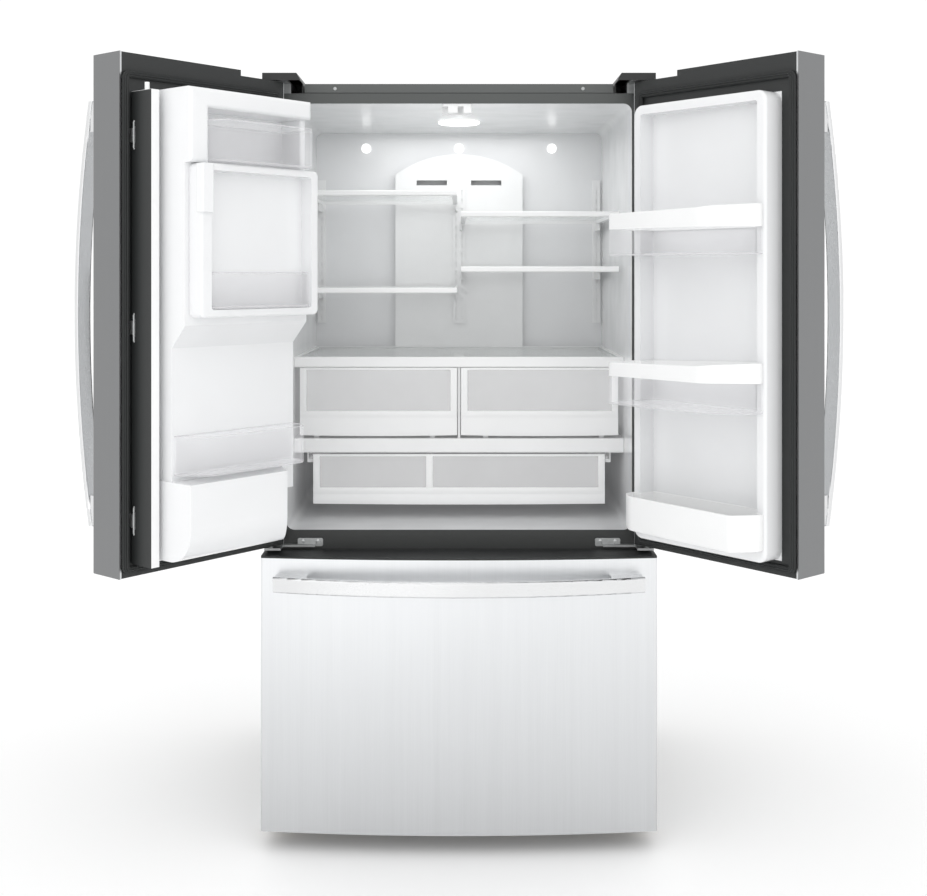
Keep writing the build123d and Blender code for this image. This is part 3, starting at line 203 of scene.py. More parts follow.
class Finish(Graph):
    """One material, with its patterns on object coordinates."""

    def __init__(self, name):
        self.material = bpy.data.materials.new(name)
        self.material.use_nodes = True
        super().__init__(self.material.node_tree)
        self.shader = self.tree.nodes["Principled BSDF"]
        self.place = self.node("ShaderNodeTexCoord", out="Object")
        self.x = self.node("ShaderNodeSeparateXYZ", values={"Vector": self.place})
        self.y = Wire(self, self.x.socket.node.outputs["Y"])
        self.z = Wire(self, self.x.socket.node.outputs["Z"])

    def noise(self, scale, stretch=(1.0, 1.0, 1.0), detail=3.0):
        """Cloudy pattern, stretched along the axes."""
        spread = self.node("ShaderNodeMapping", values={"Vector": self.place, "Scale": stretch})
        return self.node("ShaderNodeTexNoise", values={"Vector": spread, "Scale": scale,
                                                       "Detail": detail})

    def mixed(self, factor, first, second):
        """Colour between two colours."""
        return self.node("ShaderNodeMix", {"data_type": "RGBA"},
                         {0: factor, 6: solid(first), 7: solid(second)}, out=2)

    def toned(self, colour, pattern, amount):
        """A colour made a little darker and lighter by a pattern."""
        dark = [c * (1 - amount) for c in colour]
        light = [min(1.0, c * (1 + amount)) for c in colour]
        return self.mixed(pattern, dark, light)

    def bumped(self, height, distance, strength=1.0):
        """Normal of a height pattern."""
        return self.node("ShaderNodeBump", values={"Strength": strength, "Distance": distance,
                                                   "Height": height})

    def done(self, **values):
        """Sets or links the shader's sockets and returns the material."""
        for key, value in values.items():
            socket = self.shader.inputs[key.replace("_", " ")]
            if isinstance(value, Wire):
                self.tree.links.new(value.socket, socket)
            else:
                socket.default_value = value
        return self.material


class Recipe(Graph):
    """A Geometry Nodes tree with named inputs for its sizes."""

    def __init__(self, name, **sizes):
        super().__init__(bpy.data.node_groups.new(name, "GeometryNodeTree"))
        self.sockets = {}
        self.add_input("Geometry", "NodeSocketGeometry")
        for label, value in sizes.items():
            kind = "NodeSocketInt" if isinstance(value, int) else "NodeSocketFloat"
            self.add_input(label, kind).default_value = value
        self.tree.interface.new_socket("Geometry", in_out="OUTPUT", socket_type="NodeSocketGeometry")
        self.entry = self.tree.nodes.new("NodeGroupInput")

    def add_input(self, label, kind):
        """Adds one named input and keeps its identifier."""
        socket = self.tree.interface.new_socket(label, in_out="INPUT", socket_type=kind)
        self.sockets[label] = socket.identifier
        return socket

    def given(self, label):
        """Wire from one of the tree's inputs."""
        return Wire(self, self.entry.outputs[label])

    def finish(self, geometry, material):
        """Realizes instances, sets the material and ends the tree."""
        real = self.node("GeometryNodeRealizeInstances", values={"Geometry": geometry})
        set_material = self.node("GeometryNodeSetMaterial",
                                 values={"Geometry": real, "Material": material})
        end = self.tree.nodes.new("NodeGroupOutput")
        self.tree.links.new(set_material.socket, end.inputs[0])

    def grow(self, name, mesh, body, slot, material, stands_for=(), **sizes):
        """Runs the tree on a mesh and keeps the result as a plain piece."""
        seed = linked(name, mesh)
        modifier = seed.modifiers.new("recipe", "NODES")
        modifier.node_group = self.tree
        for label, value in sizes.items():
            modifier[self.sockets[label]] = value
        evaluated = seed.evaluated_get(bpy.context.evaluated_depsgraph_get())
        result = bpy.data.meshes.new_from_object(evaluated)
        seed.modifiers.remove(modifier)
        seed.data = result
        return settled(seed, body, slot, material, stands_for)


def solid(colour):
    """A colour with its fourth number, or the wire itself."""
    return colour if isinstance(colour, Wire) else (*colour[:3], 1.0)


# ---- meshes
def linked(name, mesh):
    """New object in the scene."""
    obj = bpy.data.objects.new(name, mesh)
    bpy.context.scene.collection.objects.link(obj)
    return obj


def as_mesh(name, shape):
    """Mesh of a bmesh, which ends there."""
    mesh = bpy.data.meshes.new(name)
    shape.to_mesh(mesh)
    shape.free()
    return mesh


def settled(obj, body, slot, material, stands_for=()):
    """Gives a finished piece its material, shading and body."""
    mesh = obj.data
    mesh.materials.clear()
    mesh.materials.append(material)
    mesh.shade_smooth()
    mesh.set_sharp_from_angle(angle=SHARP)
    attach(obj, body)
    if stands_for:
        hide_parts(*stands_for)
    return obj


def piece(name, shape, body, slot, material, stands_for=()):
    """Turns a bmesh into a finished piece."""
    return settled(linked(name, as_mesh(name, shape)), body, slot, material, stands_for)


def add_block(shape, low, high, bevel):
    """Box between two corners, with rounded edges."""
    made = bmesh.ops.create_cube(shape, size=1.0)["verts"]
    for vert in made:
        for axis in range(3):
            vert.co[axis] = low[axis] + (vert.co[axis] + 0.5) * (high[axis] - low[axis])
    edges = list({edge for vert in made for edge in vert.link_edges})
    bmesh.ops.bevel(shape, geom=edges, offset=bevel, segments=2, profile=0.6, affect="EDGES")


def add_loft(shape, rings):
    """Closed skin over rings of points that run the same way round."""
    rows = [[shape.verts.new(point) for point in ring] for ring in rings]
    for first, second in zip(rows, rows[1:]):
        count = len(first)
        for index in range(count):
            after = (index + 1) % count
            shape.faces.new((first[index], first[after], second[after], second[index]))
    shape.faces.new(list(reversed(rows[0])))
    shape.faces.new(rows[-1])


def add_turned(shape, profile, centre, axis, count):
    """Turned shape: profile points are (radius, along the axis)."""
    axis = Vector(axis).normalized()
    side = axis.orthogonal().normalized()
    other = axis.cross(side)
    turns = [2 * math.pi * step / count for step in range(count)]
    spokes = [side * math.cos(turn) + other * math.sin(turn) for turn in turns]
    add_loft(shape, [[Vector(centre) + axis * along + spoke * radius for spoke in spokes]
                     for radius, along in profile])


def outward(shape):
    """Makes the faces of closed shells point outwards."""
    bmesh.ops.recalc_face_normals(shape, faces=shape.faces)
    return shape


def on_open_door(side):
    """Rule that takes (along, up, back) drawn from the pin to the open door."""
    def place(along, up, back):
        return Vector((side * (TURN_X * along + TURN_Y * back - PIN_X),
                       TURN_X * back - TURN_Y * along - PIN_AHEAD, up))
    return place


def hung(shape, side):
    """Puts a shape drawn from the door's pin (along, back, up) on the open door."""
    place = on_open_door(side)
    for vert in shape.verts:
        along, back, up = vert.co
        vert.co = place(along, up, back)
    return outward(shape)


def door_box(name, side, floor=0.0, top=SKY):
    """Lowest and highest corner of a door's CAD node, drawn from the pin, between two heights."""
    low, high = Vector((SKY, SKY, SKY)), Vector((-SKY, -SKY, -SKY))
    for vert in NODES[name].data.vertices:
        x, y, up = vert.co
        if floor <= up <= top:
            x, y = side * x + PIN_X, y + PIN_AHEAD
            point = (x * TURN_X - y * TURN_Y, x * TURN_Y + y * TURN_X, up)
            low = Vector(map(min, low, point))
            high = Vector(map(max, high, point))
    return low, high


def rounded_loop(points, radii):
    """Closed outline with an arc at every corner."""
    steps = 5
    most = 0.48  # share of a side that one arc may take
    loop = []
    for index, corner in enumerate(points):
        here = Vector(corner)
        before = Vector(points[index - 1]) - here
        after = Vector(points[(index + 1) % len(points)]) - here
        half = before.angle(after) / 2
        reach = min(radii[index] / math.tan(half), before.length * most, after.length * most)
        start, end = here + before.normalized() * reach, here + after.normalized() * reach
        for step in range(steps + 1):
            t = step / steps
            loop.append(start * (1 - t) ** 2 + here * 2 * t * (1 - t) + end * t ** 2)
    return loop


def shrunk(loop, amount):
    """Outline moved inwards; the loop runs anticlockwise."""
    inner = []
    count = len(loop)
    for index, point in enumerate(loop):
        before, after = loop[index - 1], loop[(index + 1) % count]
        ahead = (after - before).normalized()
        inner.append(point + Vector((-ahead.y, ahead.x)) * amount)
    return inner


def add_tub(shape, loop, floor, top, wall, foot=0.003):
    """Open tub on an outline: rounded foot, even walls; top is a height or a rule of the place."""
    def ring(outline, height):
        level = height if callable(height) else lambda point: height
        return [(point.x, point.y, level(point)) for point in outline]

    def lowered(point):
        return (top(point) if callable(top) else top) - wall * 0.35

    inner = shrunk(loop, wall)
    add_loft(shape, [
        ring(shrunk(loop, foot), floor), ring(shrunk(loop, foot * 0.3), floor + foot * 0.3),
        ring(loop, floor + foot), ring(loop, lowered), ring(shrunk(loop, wall * 0.3), top),
        ring(shrunk(loop, wall * 0.7), top), ring(inner, lowered), ring(inner, floor + wall + foot),
        ring(shrunk(loop, wall + foot), floor + wall)])


def loop_mesh(name, points, closed=True):
    """Edges through points, as the seed of a recipe."""
    mesh = bpy.data.meshes.new(name)
    count = len(points)
    edges = [(index, (index + 1) % count) for index in range(count if closed else count - 1)]
    mesh.from_pydata([tuple(point) for point in points], edges, [])
    return mesh


def frame_corners(x0, x1, y0, y1, inset):
    """Corners of a rectangle, moved inwards."""
    x0, x1, y0, y1 = x0 + inset, x1 - inset, y0 + inset, y1 - inset
    return [(x0, y0), (x1, y0), (x1, y1), (x0, y1)]


# ---- recipes
def filleted(recipe, count):
    """The recipe's path as a curve with rounded corners."""
    path = recipe.node("GeometryNodeMeshToCurve", values={"Mesh": recipe.given("Geometry")})
    return recipe.node("GeometryNodeFilletCurve", {"mode": "POLY"}, {
        "Curve": path, "Count": count, "Radius": recipe.given("Corner")})


def seal_recipe(material):
    """Ribbed seal swept along a closed path, with rounded corners."""
    recipe = Recipe("seal", Width=0.016, Depth=0.0126, Fold=0.0022, Corner=0.01)
    path = recipe.node("GeometryNodeSetCurveNormal", {"mode": "Z_UP"}, {"Curve": filleted(recipe, 5)})
    ring = recipe.node("GeometryNodeCurvePrimitiveCircle", values={"Resolution": 48, "Radius": 1.0})
    x = recipe.node("ShaderNodeSeparateXYZ", values={"Vector": recipe.node("GeometryNodeInputPosition")})
    y = Wire(recipe, x.socket.node.outputs["Y"])
    turn = recipe.node("ShaderNodeMath", {"operation": "ARCTAN2"}, {0: y, 1: x})
    wave = recipe.node("ShaderNodeMath", {"operation": "COSINE"}, {0: turn * 9.0})
    half_width = recipe.given("Width") * 0.5
    half_depth = recipe.given("Depth") * 0.5
    fold = recipe.given("Fold") * 0.5 * (1 + wave)
    place = recipe.node("ShaderNodeCombineXYZ", values={
        "X": x * (half_width - fold), "Y": y * (half_depth - fold)})
    profile = recipe.node("GeometryNodeSetPosition", values={"Geometry": ring, "Position": place})
    swept = recipe.node("GeometryNodeCurveToMesh", values={"Curve": path, "Profile Curve": profile})
    recipe.finish(swept, material)
    return recipe


def rod_recipe(material):
    """Round wire bent along a path, repeated in steps."""
    recipe = Recipe("rods", Thickness=0.004, Corner=0.012, Count=1, Step_X=0.0, Step_Y=0.0, Step_Z=0.0)
    path = filleted(recipe, 3)
    path.socket.node.inputs["Limit Radius"].default_value = True
    ring = recipe.node("GeometryNodeCurvePrimitiveCircle", values={
        "Resolution": 8, "Radius": recipe.given("Thickness") * 0.5})
    rod = recipe.node("GeometryNodeCurveToMesh", values={
        "Curve": path, "Profile Curve": ring, "Fill Caps": True})
    recipe.finish(stepped(recipe, rod), material)
    return recipe


def row(name, shape, body, slot, material, count, step):
    """Piece made of one shape repeated along X in even steps."""
    recipe = Recipe("row", Count=1, Step_X=0.0, Step_Y=0.0, Step_Z=0.0)
    recipe.finish(stepped(recipe, recipe.given("Geometry")), material)
    return recipe.grow(name, as_mesh(name, shape), body, slot, material, Count=count, Step_X=step)


def stepped(recipe, geometry):
    """Copies of a geometry at even steps."""
    step = recipe.node("ShaderNodeCombineXYZ", values={
        axis: recipe.given("Step_" + axis) for axis in "XYZ"})
    line = recipe.node("GeometryNodeMeshLine", {"mode": "OFFSET"}, {
        "Count": recipe.given("Count"), "Offset": step})
    return recipe.node("GeometryNodeInstanceOnPoints", values={"Points": line, "Instance": geometry})


def screw_recipe(material):
    """Hexagon washer-head screws at even distances along a path, standing towards +Y."""
    recipe = Recipe("screws", Head=0.0085, Pitch=0.2)
    path = recipe.node("GeometryNodeMeshToCurve", values={"Mesh": recipe.given("Geometry")})
    path = recipe.node("GeometryNodeResampleCurve", {"mode": "LENGTH"},
                       {"Curve": path, "Length": recipe.given("Pitch")})
    radius = recipe.given("Head") * 0.5
    washer = recipe.node("GeometryNodeMeshCone", values={
        "Vertices": 16, "Radius Top": radius * 1.15, "Radius Bottom": radius * 1.5, "Depth": 0.0008})
    hexagon = recipe.node("GeometryNodeMeshCone", values={
        "Vertices": 6, "Radius Top": radius * 0.86, "Radius Bottom": radius * 0.95,
        "Depth": radius * 0.8})
    head = recipe.node("GeometryNodeJoinGeometry", values={"Geometry": washer})
    recipe.tree.links.new(hexagon.socket, head.socket.node.inputs["Geometry"])
    upright = recipe.node("GeometryNodeTransform", values={
        "Geometry": head, "Rotation": (math.radians(-90), 0, 0)})
    placed = recipe.node("GeometryNodeInstanceOnPoints", values={"Points": path, "Instance": upright})
    recipe.finish(placed, material)
    return recipe


def remapped(obj, place):
    """Moves every point of a piece by a rule, then turns its faces outwards."""
    shape = bmesh.new()
    shape.from_mesh(obj.data)
    for vert in shape.verts:
        vert.co = place(*vert.co)
    outward(shape)
    shape.to_mesh(obj.data)
    shape.free()
    obj.data.set_sharp_from_angle(angle=SHARP)


# ---- finishes
def along_door(finish, side):
    """Distance along an open door from its pin."""
    return (finish.x * side + PIN_X) * TURN_X - (finish.y + PIN_AHEAD) * TURN_Y


def brushed_steel(name, colour, stretch, rough, painted_shade=0.0, side=0, free_end=0.0):
    """Steel with fine brush lines and faint cloudiness.

    Painted shade makes it darker towards the floor, standing in for the dimmer reflection low down; on a
    door, the end face is darker grey, partly its grey wrap and partly painted shade for the dim reflection
    on that side face."""
    finish = Finish(name)
    lines = finish.noise(900.0, stretch, 4.0)
    wide = finish.noise(60.0, stretch, 2.0)
    cloud = finish.noise(3.0, detail=2.0)
    tone = lines * 0.5 + wide * 0.3 + cloud * 0.2
    # painted shade: base colour darker towards the floor, standing in for the dimmer reflection low on the
    # drawer front
    if painted_shade:
        tone = tone * 0.4 + finish.z * painted_shade
    tint = finish.toned(colour, tone, 0.25 if painted_shade else 0.09)
    # the free end face gets a darker grey: partly its grey wrap, partly painted shade for the dim
    # reflection on that side face
    if side:
        tint = finish.mixed(along_door(finish, side).above(free_end), tint, [c * 0.36 for c in colour])
    return finish.done(
        Base_Color=tint, Metallic=1.0,
        Roughness=rough + 0.14 * lines + 0.05 * cloud,
        Normal=finish.bumped(lines, 0.00006, 0.5))


def painted(name, colour, rough):
    """Painted sheet with fine orange peel."""
    finish = Finish(name)
    peel = finish.noise(520.0, detail=2.0)
    cloud = finish.noise(5.0, detail=2.0)
    return finish.done(
        Base_Color=finish.toned(colour, cloud, 0.07), Roughness=rough + 0.08 * peel,
        Normal=finish.bumped(peel, 0.0003, 0.35), Coat_Weight=0.15, Coat_Roughness=0.3)


def case_paint(name, colour, flange):
    """Painted case; its flange between the two spaces is darker and grained."""
    finish = Finish(name)
    dark = finish.z.within(*flange) * (1 - finish.y.above(0.02))
    peel = finish.noise(520.0, detail=2.0)
    leather = finish.node("ShaderNodeTexVoronoi", values={"Vector": finish.place, "Scale": 420.0})
    cloud = finish.noise(5.0, detail=2.0)
    tone = finish.toned(colour, cloud, 0.07)
    return finish.done(
        Base_Color=finish.mixed(dark, tone, [c * 0.48 for c in colour]),
        Roughness=0.42 + 0.08 * peel + 0.08 * dark, Coat_Weight=0.15, Coat_Roughness=0.3,
        Normal=finish.bumped(peel * 0.3 * (1 - dark) + leather * dark, 0.0006, 0.5))


def touch_glass(name):
    """Dark glass of the touch panel, faintly smudged."""
    finish = Finish(name)
    smudge = finish.noise(30.0, detail=3.0)
    return finish.done(
        Base_Color=finish.toned((0.010, 0.011, 0.012), smudge, 0.2), Roughness=0.05 + 0.12 * smudge,
        Normal=finish.bumped(smudge, 0.0004, 0.1), Coat_Weight=0.6, Coat_Roughness=0.04)


def lit(name, colour, amount, glow, scale, rough, bump):
    """Frosted lamp, faintly lit."""
    finish = Finish(name)
    haze = finish.noise(scale, detail=1.0)
    return finish.done(
        Base_Color=finish.toned(colour, haze, amount), Roughness=rough[0] + rough[1] * haze,
        Emission_Color=finish.toned(glow, haze, 0.05), Emission_Strength=0.9,
        Normal=finish.bumped(haze, *bump))


def moulded(name, colour, rough, grain):
    """Moulded plastic: fine grain, faint flow marks, slightly duller in patches."""
    finish = Finish(name)
    fine = finish.noise(900.0, detail=2.0)
    flow = finish.noise(7.0, detail=3.0)
    return finish.done(
        Base_Color=finish.toned(colour, flow, 0.03), Roughness=rough + 0.1 * flow + 0.04 * fine,
        Normal=finish.bumped(fine * 0.2 + flow * 0.8, 0.0012, grain))


def liner_white(name, colour):
    """Glossy vacuum-formed lining with slow waves in its gloss."""
    finish = Finish(name)
    waves = finish.noise(11.0, detail=1.0)
    fine = finish.noise(420.0, detail=2.0)
    return finish.done(
        Base_Color=finish.toned(colour, waves, 0.015), Roughness=0.16 + 0.08 * waves + 0.03 * fine,
        Normal=finish.bumped(waves * 0.9 + fine * 0.03, 0.0035, 0.4), Coat_Weight=0.2,
        Coat_Roughness=0.12)


def clear_plastic(name, tint, white, band, edges=(), milk=0.08, glow=0.22):
    """Clear plastic: denser and greyer where its edges gather light, painted as lines at given heights;
    opaque white where it is banded; its clear parts glow faintly, a painted glow that stands in for light
    passing through.
    """
    finish = Finish(name)
    mask = band(finish)
    facing = finish.node("ShaderNodeLayerWeight", values={"Blend": 0.5}, out="Facing")
    flow = finish.noise(14.0, detail=2.0)
    see = milk + 0.3 * facing ** 4.0
    # painted edge lines: darker and denser at the foot and rim, standing in for light gathered and bent in
    # the thick edges
    rim = finish.z * 0.0
    for low, high in edges:
        rim = rim + finish.z.within(low, high, 0.0012)
    see = see + (0.42 - 0.42 * see) * rim
    clear = finish.mixed(rim, finish.toned(tint, flow, 0.03), [c * 0.66 for c in tint])
    # Emission: a painted glow on the clear parts, standing in for light passing through the plastic
    return finish.done(
        Base_Color=finish.mixed(mask, clear, white),
        Roughness=0.06 + 0.04 * flow + mask * 0.16, Alpha=see + (1 - see) * mask,
        Normal=finish.bumped(flow, 0.002, 0.25), IOR=1.49, Emission_Strength=glow,
        Emission_Color=finish.mixed(mask, clear, (0.0, 0.0, 0.0)))


def no_band(finish):
    """Nothing opaque."""
    return finish.z * 0.0


def clear_glass(name, tint):
    """Shelf glass: clear when seen square on, denser and a little lighter at a glancing angle, the lighter
    colour a painted sheen.
    """
    finish = Finish(name)
    facing = finish.node("ShaderNodeLayerWeight", values={"Blend": 0.4}, out="Facing")
    ripple = finish.noise(4.0, detail=1.0)
    # Base colour a little lighter at a glancing angle: a painted sheen
    return finish.done(
        Base_Color=finish.toned(tint, facing, 0.06), Roughness=0.04 + 0.03 * ripple,
        Alpha=0.10 + 0.4 * facing ** 3.0, Normal=finish.bumped(ripple, 0.001, 0.2), IOR=1.52)


def rubber(name, colour):
    """Soft rubber with a faint bloom."""
    finish = Finish(name)
    bloom = finish.noise(40.0, detail=4.0)
    fine = finish.noise(1300.0, detail=2.0)
    return finish.done(
        Base_Color=finish.toned(colour, bloom, 0.25), Roughness=0.62 + 0.2 * bloom,
        Normal=finish.bumped(fine, 0.0003, 0.4))


def plated(name, colour, rough=0.34):
    """Zinc-plated or galvanised steel with spangle."""
    finish = Finish(name)
    cells = finish.node("ShaderNodeTexVoronoi", values={"Vector": finish.place, "Scale": 95.0})
    cloud = finish.noise(18.0, detail=3.0)
    tone = cells * 0.6 + cloud * 0.4
    return finish.done(
        Base_Color=finish.toned(colour, tone, 0.16), Metallic=0.9,
        Roughness=rough + 0.16 * tone, Normal=finish.bumped(cells, 0.0002, 0.3))


def foamed(name):
    """Cut edge of the insulation."""
    finish = Finish(name)
    cells = finish.node("ShaderNodeTexVoronoi", values={"Vector": finish.place, "Scale": 380.0})
    cloud = finish.noise(20.0, detail=4.0)
    return finish.done(
        Base_Color=finish.toned((0.72, 0.58, 0.33), cloud, 0.15), Roughness=0.95,
        Normal=finish.bumped(cells, 0.001, 0.8))


def dress(material, *names):
    """Gives CAD nodes their material."""
    for name in names:
        for slot in NODES[name].material_slots:
            slot.material = material


def colours():
    """The user's colours."""
    return bpy.context.scene.fridge_colours


def sizes():
    """The user's sizes."""
    return bpy.context.scene.fridge_sizes


def material(name, maker, *values):
    """A finish by name, made once."""
    return bpy.data.materials.get(name) or maker(name, *values)


def white_part():
    """Finish of the white mouldings."""
    return material("white moulding", moulded, colours().white, 0.28, 0.2)


def black_plastic():
    """Finish of the black mouldings."""
    return material("black moulding", moulded, colours().black, 0.36, 0.35)


def zinc():
    """Finish of plated brackets and screws."""
    return material("zinc plate", plated, colours().zinc)


# ---- outlines of the bins
def hooked(low, high, hook, nose):
    """Outline of a bin of the right door: narrow between the rims, wide in front of them."""
    lug, shoulder, cheek = 0.0174, low.y + 0.044, 0.015
    return [(low.x + hook, low.y), (high.x - lug, low.y), (high.x - lug, shoulder), (high.x, shoulder),
            (high.x, shoulder + cheek), *nose, (low.x, shoulder), (low.x + hook, shoulder)]


def chamfered(low, high, cuts):
    """Outline of a bin of the left door: its two front corners are cut."""
    return [(low.x, low.y), (high.x, low.y), (high.x, high.y - cuts[0]), (high.x - cuts[1], high.y),
            (low.x + cuts[3], high.y), (low.x, high.y - cuts[2])]


def rising_rim(low, high):
    """Rule for a rim that rises from the bin's middle towards its free end."""
    middle = (low.x + high.x) / 2
    reach = high.x - middle

    def rim(point):
        t = max(0.0, (point.x - middle) / reach)
        return high.z - 0.006 + 0.012 * t * t * (3 - 2 * t)
    return rim


def foot_line(low):
    """Heights between which a clear foot gathers light."""
    return low.z - 0.001, low.z + 0.0035


def rim_line(high):
    """Heights between which a clear rim gathers light."""
    return high.z - 0.002, high.z + 0.001


# ---- operators
class FRIDGE_OT_cabinet(bpy.types.Operator):
    """Paints the case, the trim above it and the hinge covers"""

    bl_idname = "fridge.cabinet"
    bl_label = "Cabinet"

    def execute(self, context):
        flange = (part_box("freezer_drawer_skin")[1].z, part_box("fresh_food_liner")[0].z + 0.003)
        case = material("case paint", case_paint, colours().case, flange)
        dress(case, "case_wrapper")
        dress(material("trim paint", painted, [c * 1.25 for c in colours().case], 0.35), "top_trim_strip")
        dress(black_plastic(), "hinge_covers", "base_grille", "levelling_feet", "rear_rollers")
        dress(zinc(), "hinge_brackets", "screws", "flap_hinges")
        dress(material("galvanised sheet", plated, (0.5, 0.52, 0.53), 0.4), "back_panel", "base_frame",
              "condenser")
        dress(material("insulation", foamed), "cabinet_foam", "left_door_foam", "right_door_foam",
              "freezer_drawer_foam")
        self.plate_screws(*flange)
        return {"FINISHED"}

    def plate_screws(self, floor, top):
        """Two pan-head screws on each plate of the centre hinges."""
        corners = [vert.co for vert in NODES["hinge_brackets"].data.vertices
                   if (floor + top) / 2 < vert.co.z < top and vert.co.y < -0.001
                   and abs(vert.co.x) < 0.4]
        face = min(corner.y for corner in corners)
        inner, outer = (pick(abs(corner.x) for corner in corners) for pick in (min, max))
        middle = max(corner.z for corner in corners) - 0.007
        shape = bmesh.new()
        for side in (LEFT, RIGHT):
            for place in (inner + 0.012, outer - 0.012):
                add_turned(shape, [(0.0048, 0.0), (0.0048, 0.0006), (0.0040, 0.0016), (0.0018, 0.0021),
                                   (0.0014, 0.0012), (0.0003, 0.0012)],
                           (side * place, face, middle), (0, -1, 0), 20)
        piece("plate_screws", outward(shape), "cabinet", "zinc",
              material("screw steel", plated, [c * 1.35 for c in colours().zinc], 0.25))


class FRIDGE_OT_linings(bpy.types.Operator):
    """Finishes the white linings, the duct cover and the lamps"""

    bl_idname = "fridge.linings"
    bl_label = "Linings"

    def execute(self, context):
        liner = material("liner", liner_white, colours().liner)
        dress(liner, "fresh_food_liner", "freezer_liner", "left_door_liner", "right_door_liner",
              "ice_door")
        dress(white_part(), "flap_guide", "shelf_ladders", "shelf_frames", "deli_cover",
              "air_duct_cover", "ice_auger", "ice_maker", "evaporator_fan", "rear_connections",
              "freezer_bin")
        dress(material("lamp lens", lit, (0.93, 0.94, 0.95), 0.03, (1.0, 0.98, 0.95), 60.0,
                       (0.25, 0.2), (0.001, 0.3)), "light_lenses")
        dress(material("shelf glass", clear_glass, colours().glass), "shelf_glass")
        return {"FINISHED"}


class FRIDGE_OT_fronts(bpy.types.Operator):
    """Brushes the steel of the doors, the drawer and the handles"""

    bl_idname = "fridge.fronts"
    bl_label = "Steel fronts"

    def execute(self, context):
        upright = (1.0, 1.0, 0.006)
        for side, node in ((LEFT, "left_door_skin"), (RIGHT, "right_door_skin")):
            # beyond free_end the steel is painted darker grey, partly its wrap and partly painted shade
            free_end = door_box(node, side)[1].x - 0.0012
            dress(material(node + " steel", brushed_steel, colours().steel, upright, 0.26, 0.0, side,
                           free_end), node)
        # 1.1 is the painted shade that darkens the drawer front towards the floor
        dress(material("drawer steel", brushed_steel, colours().steel, upright, 0.26, 1.1),
              "freezer_drawer_skin")
        handle = material("handle steel", brushed_steel, colours().handle, upright, 0.16)
        dress(handle, "left_door_handle", "right_door_handle")
        along = material("drawer handle steel", brushed_steel, colours().handle, (0.006, 1.0, 1.0), 0.16)
        dress(along, "freezer_drawer_handle")
        frame_black = material("charcoal moulding", moulded, colours().frame, 0.4, 0.3)
        dress(frame_black, "left_door_frame", "right_door_frame", "freezer_drawer_frame")
        return {"FINISHED"}


class FRIDGE_OT_seals(bpy.types.Operator):
    """Makes the ribbed seals of the doors and the drawer"""

    bl_idname = "fridge.seals"
    bl_label = "Seals"

    def execute(self, context):
        self.rubber = material("seal rubber", rubber, colours().rubber)
        self.recipe = seal_recipe(self.rubber)
        for side, body in ((LEFT, "left_door"), (RIGHT, "right_door")):
            seal = self.seal(body + "_seal", body, body + "_gasket", door_box(body + "_gasket", side))
            remapped(seal, on_open_door(side))
        node = "freezer_drawer_gasket"
        seal = self.seal("drawer_seal", "freezer_drawer", node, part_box(node))
        remapped(seal, lambda x, up, back: Vector((x, back, up)))
        return {"FINISHED"}

    def seal(self, name, body, node, box):
        """One seal round a gasket's box, drawn as (along, up, back)."""
        low, high = box
        half = 0.008
        back = (low.y + high.y) / 2
        corners = frame_corners(low.x, high.x, low.z, high.z, half)
        loop = loop_mesh(name, [(along, up, back) for along, up in corners])
        return self.recipe.grow(name, loop, body, "gasket", self.rubber, [node], Width=2 * half,
                                Depth=high.y - low.y, Fold=sizes().gasket_fold)


class FRIDGE_OT_flap(bpy.types.Operator):
    """Finishes the swinging flap: dark sealing face, white back"""

    bl_idname = "fridge.flap"
    bl_label = "Flap"

    def execute(self, context):
        finish = Finish("flap")
        pivot, top, skin = 0.409, 1.6945, 0.0012
        dark = along_door(finish, LEFT).above(pivot - skin) * (1 - finish.z.above(top))
        fine = finish.noise(700.0, detail=2.0)
        tone = finish.mixed(dark, finish.toned(colours().white, fine, 0.02), colours().frame)
        dress(finish.done(Base_Color=tone, Roughness=0.3 + 0.1 * fine + 0.1 * dark,
                          Normal=finish.bumped(fine, 0.0003, 0.25)), "flap")
        return {"FINISHED"}


